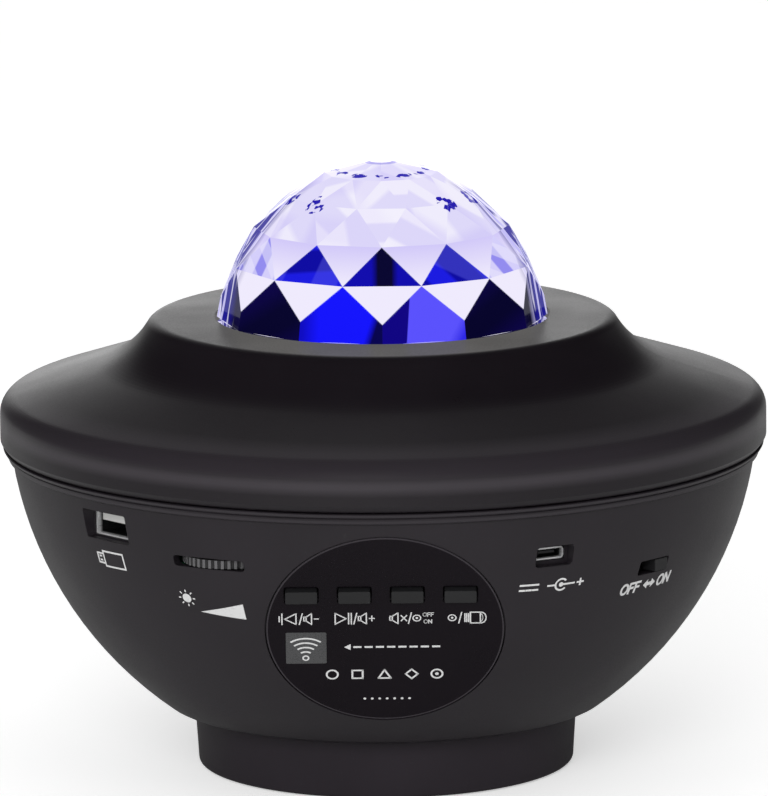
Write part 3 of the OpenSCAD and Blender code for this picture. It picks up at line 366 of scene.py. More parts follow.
def circuit(name, colour):
    """Solder mask over copper tracks, with tinned pads."""
    g = new_material(name)
    where = g.here()
    enlarged = g.vector("MULTIPLY", where, (700.0, 700.0, 700.0))
    tracks = g.add("TexBrick", out="Fac", Vector=enlarged, Scale=0.6)
    wander = g.noise(260.0, 1.0)
    copper = g.math("MULTIPLY", tracks, g.math("GREATER_THAN", wander, 0.5))
    dots = g.add("TexVoronoi", out="Distance", Vector=where, Scale=330.0, Randomness=0.35)
    pads = g.math("LESS_THAN", dots, 0.22)
    body = g.mix(copper, colour, scaled(colour, 1.9))
    body = g.mix(pads, body, TIN)
    return g.finish(
        Base_Color=body,
        Metallic=pads,
        Roughness=g.span(wander, 0.2, 0.8, 0.25, 0.4),
        Coat_Weight=0.3,
        Normal=g.bump(g.math("ADD", copper, pads), 0.03 * MM, 0.6),
    )


def clear(name, tint, rough, ripple, scale):
    """Clear acrylic with a moulded ripple, in millimetres."""
    g = new_material(name)
    waves = g.noise(scale, 2.0)
    haze = g.noise(300.0, 2.0)
    return g.finish(
        Base_Color=g.mix(g.span(haze, 0.3, 0.7), tint, scaled(tint, 0.94)),
        Roughness=g.span(haze, 0.2, 0.8, rough, rough + 0.06),
        Transmission_Weight=0.9,
        IOR=1.49,
        Normal=g.bump(waves, ripple * MM, 0.8),
    )


def glowing(name, colour, glow, strength):
    """Phosphor of a lit emitter."""
    g = new_material(name)
    cells = g.add("TexVoronoi", out="Distance", Vector=g.here(), Scale=500.0)
    body = g.mix(g.span(cells, 0.0, 0.7), colour, scaled(colour, 0.75))
    return g.finish(
        Base_Color=body,
        Roughness=g.span(cells, 0.0, 1.0, 0.25, 0.45),
        Emission_Color=glow,
        Emission_Strength=strength,
        Normal=g.bump(cells, 0.05 * MM, 0.5),
    )


# Colours of the light in the dome's panes
PURE_BLUE = (0.006, 0.006, 1.0)
PALE_BLUE = (0.105, 0.085, 1.0)
FULL_BLUE = (0.02, 0.014, 0.78)
MID_BLUE = (0.010, 0.010, 0.76)
SOFT_BLUE = (0.10, 0.10, 0.84)
DEEP_BLUE = (0.004, 0.002, 0.42)
DARK_BLUE = (0.003, 0.002, 0.36)
CHIP_BLUE = (0.02, 0.012, 0.42)
STREAK_BLUE = (0.012, 0.008, 0.30)
NAVY = (0.002, 0.0, 0.25)
SLATE = (0.004, 0.0, 0.22)
NIGHT = (0.001, 0.0, 0.07)
INK_BLUE = (0.003, 0.0005, 0.058)
NEAR_BLACK = (0.0008, 0.0, 0.018)
BLACK_BLUE = (0.0008, 0.0002, 0.016)
LILAC = (0.68, 0.64, 0.98)
BRIGHT_LILAC = (0.85, 0.82, 1.0)
DEEP_LILAC = (0.30, 0.27, 0.88)
APEX_LILAC = (0.30, 0.27, 0.80)
KITE_LILAC = (0.66, 0.60, 0.96)
GREY_LILAC = (0.62, 0.57, 0.94)
STREAK_LILAC = (0.40, 0.37, 0.93)
WARM_WHITE = (0.72, 0.67, 0.96)
COOL_WHITE = (0.90, 0.87, 1.0)
CLEAR_WHITE = (0.93, 0.91, 1.0)
KITE_WHITE = (0.90, 0.86, 1.0)
TIP_WHITE = (0.89, 0.85, 1.0)
STREAK_WHITE = (0.80, 0.77, 0.99)
# Painted highlight on the panes' edges
EDGE_HIGHLIGHT = (0.72, 0.72, 0.92)
THROWN_LIGHT = (0.54, 0.53, 0.50)

# The tall panes' normals rise by less than this many degrees
PANE_LEAN = 16.0

# How often the dome's patterns repeat round it
SIDES = 12.0
THIRDS = 3.0
HALVES = 2.0

# Latitudes of the dome's blue chips and lilac ring, and of the end of its side streaks
CORNER_LAT = 55.5
CROWN_RING_LAT = 72.5
APEX_LATS = (82.5, 86.0)
STREAK_END_LATS = (52.0, 66.0)


def dome_height(latitude):
    """How far above the dome's centre its corners of that latitude lie, in metres."""
    s = math.sin(math.radians(latitude))
    crown = DOME_CROWN * max(0.0, s - CROWN_STARTS) / (1.0 - CROWN_STARTS)
    return (DOME_R * s + crown) * MM


class Facets:
    """What the dome's material is told by its geometry: which pane this is, and where on it.

    across runs in metres from the pane's middle, and height from the dome's centre.
    """

    def __init__(self, g):
        self.g = g
        self.normal = g.add("NewGeometry", out="True Normal")
        self.where = g.vector("SUBTRACT", g.here(), (0.0, 0.0, DOME_CENTRE_Z * MM))
        self.height = g.add("SeparateXYZ", out=2, Vector=self.where)
        self.lean = g.add("SeparateXYZ", out=2, Vector=self.normal)
        self.azimuth = self.turn_of(self.normal)
        self.turn = self.turn_of(self.where)
        side = g.vector("NORMALIZE", g.vector("CROSS_PRODUCT", (0.0, 0.0, 1.0), self.normal))
        self.across = g.vector("DOT_PRODUCT", side, self.where, out="Value")
        # Snapped to a coarse grid, a pane's normal is the seed of its chance
        self.seed = g.vector("SNAP", g.vector("ADD", self.normal, (0.003, 0.004, 0.005)), (0.02, 0.02, 0.02))
        self.chance = g.add("TexWhiteNoise", out="Value", Vector=self.seed)
        third = g.math("DIVIDE", self.azimuth, math.radians(120.0))
        self.azimuth_in_third = g.math("SUBTRACT", third, g.math("ROUND", third))

    def turn_of(self, vector):
        """Angle round the dome, 0 at the front."""
        x, y = (self.g.add("SeparateXYZ", out=i, Vector=vector) for i in range(2))
        return self.g.math("ARCTAN2", x, self.g.math("MULTIPLY", y, -1.0))

    def wave(self, turn, count):
        """1 at the front, and at count places evenly round the dome."""
        return self.g.math("COSINE", self.g.math("MULTIPLY", turn, count))

    def shard(self, offset, pitch, softness):
        """Straight-edged bands across this pane, in a direction of its own."""
        g = self.g
        aim = g.add("TexWhiteNoise", out="Color", Vector=g.vector("ADD", self.seed, (offset, 0.0, 0.0)))
        aim = g.vector("NORMALIZE", g.vector("SUBTRACT", aim, (0.5, 0.5, 0.5)))
        along = g.vector("DOT_PRODUCT", aim, self.where, out="Value")
        phase = g.math("MULTIPLY_ADD", self.chance, 40.0, offset)
        wave = g.math("SINE", g.math("MULTIPLY_ADD", along, 2.0 * math.pi / (pitch * MM), phase))
        return g.span(wave, 0.1 - softness, 0.1 + softness)

    def spot(self, latitude, count, start, wide, tall):
        """Below 1 within count flat ovals round one latitude, the first start degrees from the front.

        wide and tall are half the ovals' sizes in millimetres.
        """
        g = self.g
        step = 2.0 * math.pi / count
        turn = g.math("MULTIPLY_ADD", self.turn, 1.0 / step, -math.radians(start) / step)
        aside = g.math("SUBTRACT", turn, g.math("ROUND", turn))
        ring = DOME_R * math.cos(math.radians(latitude))
        aside = g.math("MULTIPLY", aside, step * ring / wide)
        above = g.math("SUBTRACT", self.height, dome_height(latitude))
        above = g.math("DIVIDE", above, tall * MM)
        return g.math("ADD", g.math("POWER", aside, 2.0), g.math("POWER", above, 2.0))


def lower_panes(g, f):
    """The twelve tall panes over the collar: two bright, then two nearly black, round and round."""
    low_right = g.math("MULTIPLY_ADD", f.height, -0.3, f.across)
    left = g.mix(g.span(low_right, 4.0 * MM, 5.8 * MM), PURE_BLUE, NIGHT)
    left = g.mix(g.span(f.across, -8.6 * MM, -5.0 * MM, 0.6, 0.0), left, NAVY)
    slant = g.math("MULTIPLY_ADD", f.height, -0.12, f.across)
    right = g.mix(g.span(slant, -4.4 * MM, -4.2 * MM), SLATE, PALE_BLUE)
    low = g.math("SUBTRACT", f.across, g.math("MULTIPLY", f.height, 0.6))
    right = g.mix(g.span(low, 3.5 * MM, 6.5 * MM, 0.0, 0.9), right, FULL_BLUE)
    bright = g.mix(g.math("GREATER_THAN", f.azimuth_in_third, 0.0), left, right)
    dark = g.mix(f.shard(0.0, 19.0, 0.9), BLACK_BLUE, INK_BLUE)
    return g.mix(g.math("GREATER_THAN", f.wave(f.azimuth, THIRDS), 0.0), dark, bright)


def upper_triangles(g, f):
    """The small triangles standing over the lower panes: deep blue, with one lilac in every four."""
    streak = g.mix(f.shard(3.0, 9.0, 0.25), DARK_BLUE, MID_BLUE)
    streak = g.mix(g.math("MULTIPLY", f.shard(5.0, 13.0, 0.12), 0.3), streak, SOFT_BLUE)
    off_middle = g.math("ABSOLUTE", g.math("ADD", f.across, -0.6 * MM))
    middle = g.mix(g.span(off_middle, 1.5 * MM, 2.9 * MM), NEAR_BLACK, DEEP_BLUE)
    front = g.math("GREATER_THAN", f.wave(f.azimuth, THIRDS), 0.5)
    blue = g.mix(front, streak, middle)
    lilac = g.mix(f.shard(2.0, 8.0, 0.2), LILAC, DEEP_LILAC)
    lilac = g.mix(g.math("MULTIPLY", f.shard(9.0, 6.0, 0.1), 0.5), lilac, BRIGHT_LILAC)
    return g.mix(g.math("GREATER_THAN", f.wave(f.azimuth, THIRDS), -0.5), lilac, blue)


def upper_panes(g, f, row_1, row_2):
    """Everything else: near white, shading to lilac, with crisp blue chips where the panes' corners meet."""
    wide, narrow = f.shard(0.0, 17.0, 0.45), f.shard(3.0, 11.0, 0.2)
    white = g.mix(f.chance, WARM_WHITE, COOL_WHITE)
    white = g.mix(g.math("MULTIPLY", wide, 0.75), white, CLEAR_WHITE)
    white = g.mix(g.math("MULTIPLY", narrow, 0.5), white, GREY_LILAC)
    kite = g.mix(g.span(f.height, row_1, row_2), KITE_WHITE, KITE_LILAC)
    white = g.mix(g.between(f.height, row_1, row_2), white, kite)
    white = g.mix(g.math("LESS_THAN", f.height, row_1), white, TIP_WHITE)
    white = g.mix(blue_chips(g, f), white, CHIP_BLUE)
    apex = g.between(f.height, *(dome_height(latitude) for latitude in APEX_LATS))
    return g.mix(g.math("MULTIPLY", apex, 0.65), white, APEX_LILAC)


def blue_chips(g, f):
    """1 on ragged chips at the upper panes' corners towards the sides, and in a ring round the crown."""
    cells = g.add("TexVoronoi", out="Color", Vector=f.where, Scale=820.0)
    cell = g.add("SeparateXYZ", Vector=cells)
    sides = g.math("LESS_THAN", f.wave(f.turn, THIRDS), 0.0)
    ragged = g.math("MULTIPLY", g.math("SUBTRACT", cell, 0.5), 1.6)
    corner = g.math("ADD", f.spot(CORNER_LAT, SIDES, 15.0, 2.3, 1.5), ragged)
    corner = g.math("MULTIPLY", g.math("LESS_THAN", corner, 0.75), sides)
    chips = g.math("MULTIPLY", corner, g.math("LESS_THAN", cell, 0.52))
    ring = g.math("ADD", f.spot(CROWN_RING_LAT, SIDES, 0.0, 2.0, 0.26), ragged)
    return g.math("MAXIMUM", chips, g.math("LESS_THAN", ring, 0.65))


def side_streaks(g, f, colour):
    """Breaks colour into long upright streaks towards both sides, but not near the crown: painted refraction
    of the light inside.
    """
    arc = g.math("MULTIPLY", f.turn, DOME_R * MM)
    lines = g.add("CombineXYZ", X=arc, Y=f.chance, Z=g.math("MULTIPLY", f.height, 0.16))
    lines = g.noise(430.0, 1.0, where=lines)
    streaked = g.mix(g.span(lines, 0.50, 0.54), STREAK_BLUE, STREAK_WHITE)
    streaked = g.mix(g.span(lines, 0.56, 0.60, 0.0, 0.7), streaked, STREAK_LILAC)
    at_sides = g.span(g.math("MULTIPLY", f.wave(f.turn, HALVES), -1.0), 0.70, 0.92, 0.0, 0.9)
    start, end = (dome_height(latitude) for latitude in STREAK_END_LATS)
    below_crown = g.span(f.height, start, end, 1.0, 0.0)
    return g.mix(g.math("MULTIPLY", at_sides, below_crown), colour, streaked)


def faceted(name):
    """Lit faceted acrylic: each pane shows its own colour of the light inside."""
    g = new_material(name)
    f = Facets(g)
    row_1, row_2 = dome_height(PANE_TIP_LAT), dome_height(TRIANGLE_TIP_LAT)

    is_pane = g.math("LESS_THAN", f.lean, math.sin(math.radians(PANE_LEAN)))
    even = g.math("GREATER_THAN", f.wave(f.azimuth, SIDES), 0.0)
    is_up = g.math("MULTIPLY", even, g.between(f.height, row_1, row_2))
    colour = g.mix(is_up, upper_panes(g, f, row_1, row_2), upper_triangles(g, f))
    colour = g.mix(is_pane, colour, lower_panes(g, f))
    colour = side_streaks(g, f, colour)

    # Painted highlight: where the bevelled normal's height differs from the pane's own, the panes' edges
    # turn pale
    bevelled = g.add("Bevel", Radius=0.35 * MM)
    bend = g.math("SUBTRACT", g.add("SeparateXYZ", out=2, Vector=bevelled), f.lean)
    bend = g.math("MULTIPLY", g.math("ABSOLUTE", bend), g.math("GREATER_THAN", f.height, 4.5 * MM))
    colour = g.mix(g.span(bend, 0.02, 0.12, 0.0, 0.5), colour, EDGE_HIGHLIGHT)

    # What the dome throws on the collar is nearly grey
    seen = g.add("LightPath", out="Is Camera Ray")
    thrown = g.mix(0.9, colour, THROWN_LIGHT)
    return g.finish(
        Base_Color=(0.002, 0.002, 0.012),
        Roughness=g.span(f.shard(3.0, 11.0, 0.2), 0.0, 1.0, 0.05, 0.09),
        Specular_IOR_Level=0.12,
        Emission_Color=g.mix(seen, thrown, colour),
        Emission_Strength=0.97,
        Normal=bevelled,
    )


def make_materials():
    """Every material by its slot; Blender adds a dot and a number to a name that is taken."""
    groups = (shell_materials(), control_materials(), optical_materials(), inner_materials())
    return {m.name.partition(".")[0]: m for group in groups for m in group}


def shell_materials():
    black = (0.0168, 0.0138, 0.0173)
    # Painted highlights, each a mask and its lighter colour: the rim's shoulder, the lip's two edges, the
    # panel's edge
    on_rim = (rim_highlight, (0.0335, 0.0285, 0.0345))
    on_lip = (lip_edges, (0.0285, 0.0245, 0.0292))
    on_edge = (panel_edge, (0.042, 0.037, 0.043))
    panel = (0.0055, 0.0036, 0.0058)
    return (
        moulded("cover_plastic", (0.0084, 0.0060, 0.0087), 0.34, painted_highlight=on_rim),
        moulded("bowl_plastic", black, 0.42, shine=0.36, painted_highlight=on_lip),
        moulded("foot_plastic", scaled(black, 1.4), 0.5, shine=0.2),
        rubber("foot_rubber", SOFT_BLACK),
        moulded("panel_plastic", panel, 0.3, grain=0.15, edge=0.2, shine=0.16, painted_highlight=on_edge),
        moulded("window_plastic", (0.062, 0.062, 0.064), 0.28, grain=0.1, edge=0.15),
        moulded("ring_plastic", (0.02, 0.02, 0.022), 0.55),
    )


def control_materials():
    # Painted highlight on the thumbwheel's flats
    on_flats = (wheel_ridges, (0.11, 0.108, 0.112))
    # Painted shade inside the sockets' shells
    in_shells = (shell_inside, (0.012, 0.012, 0.013))
    shell = (0.82, 0.82, 0.83)
    return (
        moulded("button_plastic", SOFT_BLACK, 0.4, edge=0.3),
        moulded("wheel_plastic", (0.018, 0.0175, 0.0185), 0.4, edge=0.1, painted_highlight=on_flats),
        moulded("dimmer_plate", (0.09, 0.06, 0.035), 0.5),
        moulded("switch_case", (0.004, 0.004, 0.005), 0.6, edge=0.15, shine=0.2),
        moulded("slider_plastic", SOFT_BLACK, 0.4, edge=0.3),
        brushed("socket_metal", shell, 0.3, (1.0, 1.0, 14.0), metallic=0.55, painted_shade=in_shells),
        moulded("tongue_white", (0.72, 0.72, 0.7), 0.4, wear=0.05),
        moulded("tongue_black", (0.015, 0.015, 0.016), 0.4),
    )


def optical_materials():
    return (
        faceted("dome_clear"),
        clear("lens_clear", (0.8, 0.85, 1.0), 0.03, 0.35, 160.0),
        clear("grating_film", (0.55, 0.9, 0.75), 0.05, 0.02, 3000.0),
        moulded("gear_plastic", (0.72, 0.71, 0.67), 0.4, wear=0.05),
        moulded("lamp_white", (0.78, 0.78, 0.75), 0.45, wear=0.04),
        glowing("lamp_chip", (0.9, 0.85, 0.5), (0.35, 0.45, 1.0), 3.0),
        brushed("laser_brass", (0.72, 0.52, 0.24), 0.25),
        clear("laser_glass", (0.7, 0.9, 1.0), 0.01, 0.0, 100.0),
    )


def inner_materials():
    steel = (0.6, 0.61, 0.63)
    sideways = (22.0, 1.0, 1.0)
    return (
        brushed("spring_steel", steel, 0.25),
        brushed("motor_metal", (0.58, 0.58, 0.6), 0.32),
        brushed("alloy", (0.7, 0.71, 0.73), 0.38, sideways),
        circuit("board_green", (0.012, 0.12, 0.045)),
        moulded("chip_black", SOFT_BLACK, 0.5, edge=0.1),
        brushed("shield_metal", (0.62, 0.63, 0.65), 0.3, sideways),
        enamel("capacitor_sleeve", (0.02, 0.03, 0.12), 0.25),
        moulded("connector_nylon", (0.75, 0.72, 0.6), 0.45, wear=0.05),
        enamel("basket_steel", SOFT_BLACK, 0.4),
        enamel("magnet_ferrite", (0.06, 0.06, 0.07), 0.45),
        rubber("surround_rubber", SOFT_BLACK),
        rubber("cone_paper", (0.016, 0.016, 0.017)),
        brushed("coil_wire", (0.75, 0.36, 0.16), 0.3, (1.0, 1.0, 60.0)),
        brushed("screw_steel", steel, 0.3),
    )


def white_ink():
    """White print, a little worn, with a faint painted glow that lifts it."""
    g = new_material("white_ink")
    wear = g.noise(1500.0, 3.0)
    body = g.mix(g.span(wear, 0.55, 0.75), (0.62, 0.62, 0.62), (0.48, 0.48, 0.48))
    return g.finish(
        Base_Color=body,
        Roughness=g.span(wear, 0.2, 0.8, 0.45, 0.6),
        # Painted light: a faint glow on the print, which is no lamp
        Emission_Color=(0.8, 0.8, 0.8),
        Emission_Strength=0.06,
        Normal=g.bump(wear, 0.01 * MM, 0.4),
    )


def paint_nodes(frame, materials):
    """Gives each piece of the part the material of its slot in the record."""
    slots = {s["node"]: s["material_slot"] for s in frame["record"]["subparts"]}
    for name, obj in frame["nodes"].items():
        obj.data.materials.clear()
        obj.data.materials.append(materials[slots[name]])


# ---------------------------------------------------------------- printed signs


# Widths of the letters as a share of their height, and the straight steps of round shapes
LETTER_WIDTHS = {"O": 0.78, "F": 0.52, "N": 0.68}
LETTER_STEPS = 24
ARC_STEPS = 20


class Sign:
    """Flat shapes drawn in millimetres, right and up from a centre."""

    def __init__(self):
        self.shapes = []

    def area(self, *points):
        self.shapes.append(list(points))

    def line(self, *points, width=0.32):
        for a, b in zip(points[:-1], points[1:]):
            a, b = Vector(a), Vector(b)
            along = (b - a).normalized()
            side = Vector((-along.y, along.x)) * width / 2
            reach = along * width * 0.45
            self.area(a - reach - side, b + reach - side, b + reach + side, a - reach + side)

    def arc(self, centre, r, start, end, width, squeeze=1.0):
        """Part of a ring, from one angle in degrees to another, narrowed to the share squeeze."""
        ring = []
        for i in range(ARC_STEPS + 1):
            t = math.radians(start + (end - start) * i / ARC_STEPS)
            ring.append((math.cos(t), math.sin(t)))
        inner, outer = r - width / 2, r + width / 2
        for (c0, s0), (c1, s1) in zip(ring[:-1], ring[1:]):
            corners = ((inner, c0, s0), (outer, c0, s0), (outer, c1, s1), (inner, c1, s1))
            self.area(*((centre[0] + k * c * squeeze, centre[1] + k * s) for k, c, s in corners))

    def disc(self, centre, r, steps=24):
        turn = [2 * math.pi * i / steps for i in range(steps)]
        self.area(*((centre[0] + r * math.cos(t), centre[1] + r * math.sin(t)) for t in turn))

    def letter(self, kind, x, y, h, width=0.3, slant=0.0):
        """One of O, F and N, its lower left corner at x, y. Returns its width."""
        w = LETTER_WIDTHS[kind] * h

        def at(u, v):
            return (x + u * w + slant * v * h, y + v * h)

        if kind == "O":
            turn = [2 * math.pi * i / LETTER_STEPS for i in range(LETTER_STEPS + 1)]
            self.line(*(at(0.5 + 0.5 * math.cos(t), 0.5 + 0.5 * math.sin(t)) for t in turn), width=width)
        elif kind == "F":
            self.line(at(0, 0), at(0, 1), at(1, 1), width=width)
            self.line(at(0, 0.52), at(0.85, 0.52), width=width)
        else:
            self.line(at(0, 0), at(0, 1), at(1, 0), at(1, 1), width=width)
        return w

    def word(self, text, x, y, h, width=0.3, slant=0.0, gap=0.24):
        for kind in text:
            x += self.letter(kind, x, y, h, width, slant) + gap * h

    def build(self, name, place, material, body):
        """Makes the sign a piece of that body; place turns right and up into a point of the part."""
        mesh = bmesh.new()
        for shape in self.shapes:
            mesh.faces.new([mesh.verts.new((p[0], p[1], 0.0)) for p in shape])
        bmesh.ops.triangulate(mesh, faces=mesh.faces[:])
        for _ in range(4):
            long = [e for e in mesh.edges if e.calc_length() > LONGEST_EDGE]
            if not long:
                break
            bmesh.ops.subdivide_edges(mesh, edges=long, cuts=1)
            bmesh.ops.triangulate(mesh, faces=[f for f in mesh.faces if len(f.verts) > 3])
        for v in mesh.verts:
            v.co = Vector(place(v.co.x, v.co.y)) * MM
        bmesh.ops.recalc_face_normals(mesh, faces=mesh.faces[:])
        data = bpy.data.meshes.new(name)
        mesh.to_mesh(data)
        mesh.free()
        data.materials.append(material)
        obj = bpy.data.objects.new(name, data)
        bpy.context.collection.objects.link(obj)
        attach(obj, body)


def on_panel(u0, v0, face=PANEL_FACE, size=1.0):
    """Places a sign on the control panel, u0 to the right of its middle and v0 up, enlarged by size."""
    tilt = math.radians(PANEL_TILT)
    c, s = math.cos(tilt), math.sin(tilt)
    d = face + INK_LIFT

    def place(u, v):
        x, y = u0 + size * u, v0 + size * v
        return (x, -d * c - y * s, BOWL_CENTRE_Z - d * s + y * c)

    return place


def on_bowl(azimuth, z, size=1.0, turn=0.0):
    """Places a sign on the bowl at that azimuth and height, enlarged by size and turned in degrees."""
    a, t = math.radians(azimuth), math.radians(turn)
    rise = z - BOWL_CENTRE_Z
    flat = math.sqrt(BOWL_R**2 - rise**2)
    out = Vector((math.sin(a) * flat, -math.cos(a) * flat, rise)).normalized()
    right = Vector((math.cos(a), math.sin(a), 0.0))
    up = out.cross(right)
    centre = Vector((0.0, 0.0, BOWL_CENTRE_Z))

    def place(u, v):
        x = size * (u * math.cos(t) - v * math.sin(t))
        y = size * (u * math.sin(t) + v * math.cos(t))
        return centre + (out * BOWL_R + right * x + up * y).normalized() * (BOWL_R + INK_LIFT)

    return place


# Half the height of the signs under the keys, and the width of their lines
SIGN_TALL = 1.55
STROKE = 0.28


def speaker(sign, left, right):
    """A loudspeaker outline, its mouth to the right."""
    neck = left + 0.3 * (right - left)
    h, k = SIGN_TALL, 0.6
    sign.line((left, -k), (left, k), (neck, k), (neck, -k), (left, -k), width=STROKE)
    sign.line((neck, k), (right, h), (right, -h), (neck, -k), width=STROKE)


def slash(sign, left, right):
    """A line that leans to the right."""
    sign.line((left, -SIGN_TALL), (right, SIGN_TALL), width=STROKE)


def bar(sign, x, tall=SIGN_TALL):
    """An upright line."""
    sign.line((x, -tall), (x, tall), width=STROKE)


def triangle(sign, flat, tip):
    """A triangle with an upright side at flat and its tip at tip."""
    h = SIGN_TALL
    sign.line((flat, -h), (tip, 0.0), (flat, h), (flat, -h), width=STROKE)


def ring_mark(sign, x):
    """A small ring with a dot in it."""
    sign.arc((x, 0.0), 0.85, 0, 360, width=STROKE)
    sign.disc((x, 0.0), 0.28)


def previous_sign():
    """Previous and quieter."""
    s = Sign()
    bar(s, -23.0, 0.75)
    bar(s, -22.4)
    triangle(s, -19.3, -21.8)
    slash(s, -18.6, -17.9)
    speaker(s, -17.6, -15.9)
    s.line((-15.3, 0.0), (-14.4, 0.0), width=STROKE)
    return s


def play_sign():
    """Play, pause and louder."""
    s = Sign()
    triangle(s, -10.7, -8.3)
    bar(s, -7.75)
    bar(s, -7.15)
    slash(s, -6.6, -5.95)
    speaker(s, -5.6, -3.85)
    s.line((-3.2, 0.0), (-2.1, 0.0), width=STROKE)
    s.line((-2.65, -0.7), (-2.65, 0.7), width=STROKE)
    return s


def mute_sign():
    """A crossed-out loudspeaker, a ring, and the words OFF and ON."""
    s = Sign()
    speaker(s, 1.3, 3.1)
    for k in (-0.75, 0.75):
        s.line((3.8, -k), (5.0, k), width=STROKE)
    slash(s, 5.4, 6.05)
    ring_mark(s, 7.25)
    s.word("OFF", 8.6, 0.5, 1.0, width=0.2)
    s.word("ON", 8.8, -1.5, 1.0, width=0.2)
    return s


def lamp_sign():
    """A ring, and a lamp with a ribbed cap, a square body and a round glass."""
    s = Sign()
    ring_mark(s, 15.0)
    slash(s, 16.45, 17.1)
    for x in (17.8, 18.2, 18.6):
        bar(s, x, 1.15)
    s.line((21.3, SIGN_TALL), (19.0, SIGN_TALL), (19.0, -SIGN_TALL), (21.3, -SIGN_TALL), width=0.32)
    s.arc((21.3, 0.0), SIGN_TALL, -90, 90, width=0.32, squeeze=0.75)
    bar(s, 21.2, 1.4)
    s.arc((21.2, 0.0), 1.1, -80, 80, width=0.24, squeeze=0.5)
    return s


def receiver_sign():
    """Four arcs over a small ring."""
    s = Sign()
    ring = (0.0, -2.75)
    for r in (1.75, 3.0, 4.25, 5.5):
        s.arc(ring, r, 54, 126, width=0.42)
    s.arc(ring, 0.6, 0, 360, width=0.34)
    return s


def pointer_sign():
    """A small arrow towards the receiver window, with a dashed line."""
    s = Sign()
    s.area((-10.4, 0.0), (-9.0, 0.85), (-9.0, -0.85))
    for i in range(8):
        s.line((-8.2 + 2.4 * i, 0.0), (-6.9 + 2.4 * i, 0.0), width=0.5)
    return s


def shapes_sign():
    """A ring, a square, a triangle, a diamond and a ring with a dot."""
    s = Sign()
    w = 0.4
    s.arc((-11.2, 0.0), 1.2, 0, 360, width=w)
    s.line((-6.9, -1.1), (-4.7, -1.1), (-4.7, 1.1), (-6.9, 1.1), (-6.9, -1.1), width=w)
    s.line((-1.3, -1.1), (1.3, -1.1), (0.0, 1.2), (-1.3, -1.1), width=w)
    s.line((4.5, 0.0), (5.8, 1.3), (7.1, 0.0), (5.8, -1.3), (4.5, 0.0), width=w)
    s.arc((11.2, 0.0), 1.2, 0, 360, width=w)
    s.disc((11.2, 0.0), 0.4)
    return s


def dots_sign():
    """A row of seven dots."""
    s = Sign()
    for i in range(7):
        s.disc((-4.8 + 1.6 * i, 0.0), 0.3, 12)
    return s


def stick_sign():
    """A memory stick, its plug to the left."""
    s = Sign()
    s.line((-1.9, -1.5), (-1.9, 1.5), (3.4, 1.5), (3.4, -1.5), (-1.9, -1.5), width=0.36)
    s.line((-1.9, -0.95), (-3.6, -0.95), (-3.6, 0.95), (-1.9, 0.95), width=0.36)
    for y in (-0.4, 0.4):
        s.line((-3.0, y), (-2.6, y), width=0.36)
    return s


def sun_sign():
    """A disc with eight rays."""
    s = Sign()
    s.disc((0.0, 0.0), 1.05)
    for i in range(8):
        t = math.pi * i / 4
        c, n = math.cos(t), math.sin(t)
        s.line((1.55 * c, 1.55 * n), (1.85 * c, 1.85 * n), width=0.3)
    return s


def wedge_sign():
    """A level that grows to the right."""
    s = Sign()
    s.area((-5.85, -0.75), (5.0, -1.68), (5.0, 2.28))
    return s


def inlet_sign():
    """Direct current: a line over three dashes, then a plug's ring and pin with a plus."""
    s = Sign()
    s.line((-6.6, 0.55), (-2.8, 0.55), width=0.42)
    for i in range(3):
        s.line((-6.6 + 1.42 * i, -0.6), (-5.65 + 1.42 * i, -0.6), width=0.42)
    s.line((-0.6, 0.0), (0.9, 0.0), width=0.4)
    s.arc((2.3, 0.0), 1.25, 40, 320, width=0.4)
    s.disc((2.3, 0.0), 0.5)
    s.line((2.3, 0.0), (5.2, 0.0), width=0.4)
    s.line((6.0, 0.0), (7.3, 0.0), width=0.4)
    s.line((6.65, -0.65), (6.65, 0.65), width=0.4)
    return s


def switch_sign():
    """OFF and ON with a double arrow between them."""
    s = Sign()
    s.word("OFF", -8.6, -1.2, 2.4, width=0.6, slant=0.12)
    upper_edge = ((-1.7, 0.0), (-0.3, 1.2), (-0.3, 0.45), (0.9, 0.45), (0.9, 1.2))
    lower_edge = ((2.3, 0.0), (0.9, -1.2), (0.9, -0.45), (-0.3, -0.45), (-0.3, -1.2))
    s.area(*upper_edge, *lower_edge)
    s.word("ON", 3.1, -1.2, 2.4, width=0.6, slant=0.12)
    return s


def print_signs(ink):
    row = on_panel(-0.25, 3.1, size=0.97)
    for name, sign, place in (
        ("print_previous", previous_sign(), row),
        ("print_play", play_sign(), row),
        ("print_mute", mute_sign(), row),
        ("print_lamp", lamp_sign(), row),
        ("print_receiver", receiver_sign(), on_panel(-17.0, -5.1, WINDOW_FACE)),
        ("print_pointer", pointer_sign(), on_panel(1.6, -4.9)),
        ("print_shapes", shapes_sign(), on_panel(-0.2, -12.6)),
        ("print_dots", dots_sign(), on_panel(0.3, -19.5)),
        ("print_stick", stick_sign(), on_bowl(-48.4, 56.0, 1.2)),
        ("print_sun", sun_sign(), on_bowl(-33.7, 49.9, 1.05)),
        ("print_wedge", wedge_sign(), on_bowl(-27.2, 47.6)),
        ("print_inlet", inlet_sign(), on_bowl(27.2, 53.0, 1.1)),
        ("print_switch", switch_sign(), on_bowl(48.1, 49.5, 0.97, 3.5)),
    ):
        sign.build(name, place, ink, "housing")


# ---------------------------------------------------------------- studio


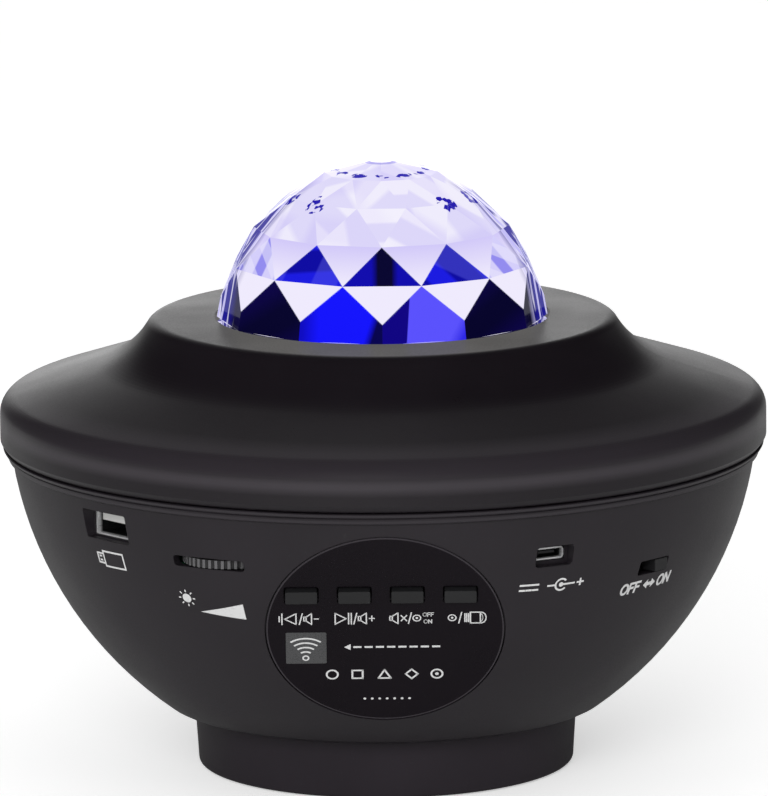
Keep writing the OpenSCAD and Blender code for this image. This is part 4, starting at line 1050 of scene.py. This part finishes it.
def set_camera():
    e = math.radians(ELEVATION)
    data = bpy.data.cameras.new("camera")
    data.lens = LENS
    data.sensor_width = SENSOR
    data.shift_x = SHIFT_X
    data.clip_end = 20.0
    camera = bpy.data.objects.new("camera", data)
    bpy.context.collection.objects.link(camera)
    away = Vector((0.0, -math.cos(e), math.sin(e))) * DISTANCE
    turn = Matrix.Rotation(math.pi / 2 - e, 4, "X") @ Matrix.Rotation(math.radians(ROLL), 4, "Z")
    camera.matrix_world = Matrix.Translation((Vector(TARGET) + away) * MM) @ turn
    bpy.context.scene.camera = camera


def set_light():
    """One square lamp in front, above and a little to the left, which gloss doesn't see."""
    data = bpy.data.lights.new("key_light", "AREA")
    data.shape = "RECTANGLE"
    data.size = data.size_y = LIGHT_SIZE
    data.energy = LIGHT_POWER
    light = bpy.data.objects.new("key_light", data)
    bpy.context.collection.objects.link(light)
    light.location = LIGHT_AT
    light.rotation_euler = (Vector(LIGHT_AIM) - Vector(LIGHT_AT)).to_track_quat("-Z", "Y").to_euler()
    light.visible_glossy = False


def gloss_level(g):
    """The surround that gloss sees: bright low down behind the object, darker overhead and to the sides."""
    where = g.add("TexCoord", out="Generated")
    x, y, z = (g.add("SeparateXYZ", out=i, Vector=where) for i in range(3))
    aside = g.math("ABSOLUTE", g.math("SUBTRACT", x, GLOSS_MIDDLE))
    level = g.math("MULTIPLY", g.ramp(z, GLOSS_BY_HEIGHT), g.span(y, *GLOSS_BEHIND))
    return g.math("MULTIPLY", level, g.span(aside, *GLOSS_ASIDE))


def set_world():
    """White to the camera and through glass, an even level as light, and a shaped surround to gloss."""
    g = Graph(bpy.data.worlds.new("studio"))
    white, level, gloss = (
        g.add("Background", Color=(1.0, 1.0, 1.0), Strength=strength)
        for strength in (1.0, ROOM_LEVEL, gloss_level(g))
    )
    lit = g.add("MixShader", args=(g.add("LightPath", out="Is Glossy Ray"), level, gloss))
    end = g.tree.nodes.new("ShaderNodeOutputWorld")
    g.put(end.inputs[0], g.add("MixShader", args=(g.seen(), lit, white)))
    bpy.context.scene.world = g.owner


def floor_paper():
    """White paper, darker to gloss, and lifted to white where the camera sees it."""
    g = new_material("floor_paper")
    cloud = g.noise(6.0, 3.0)
    seen = g.seen()
    mirrored = g.add("LightPath", out="Is Glossy Ray")
    paper = g.mix(cloud, *PAPER)
    return g.finish(
        Base_Color=g.mix(mirrored, paper, PAPER_IN_GLOSS),
        Roughness=0.8,
        Emission_Color=(1.0, 1.0, 1.0),
        Emission_Strength=g.math("MULTIPLY", seen, FLOOR_GLOW),
        Normal=g.bump(cloud, 0.02 * MM, 0.2),
    )


def set_floor():
    mesh = bmesh.new()
    bmesh.ops.create_grid(mesh, x_segments=1, y_segments=1, size=FLOOR_HALF)
    data = bpy.data.meshes.new("floor")
    mesh.to_mesh(data)
    mesh.free()
    data.materials.append(floor_paper())
    floor = bpy.data.objects.new("floor", data)
    bpy.context.collection.objects.link(floor)
    floor.location.z = -FLOOR_DROP * MM


def main():
    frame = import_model()
    bpy.context.scene.view_settings.view_transform = "Standard"
    paint_nodes(frame, make_materials())
    print_signs(white_ink())
    set_camera()
    set_light()
    set_world()
    set_floor()


main()
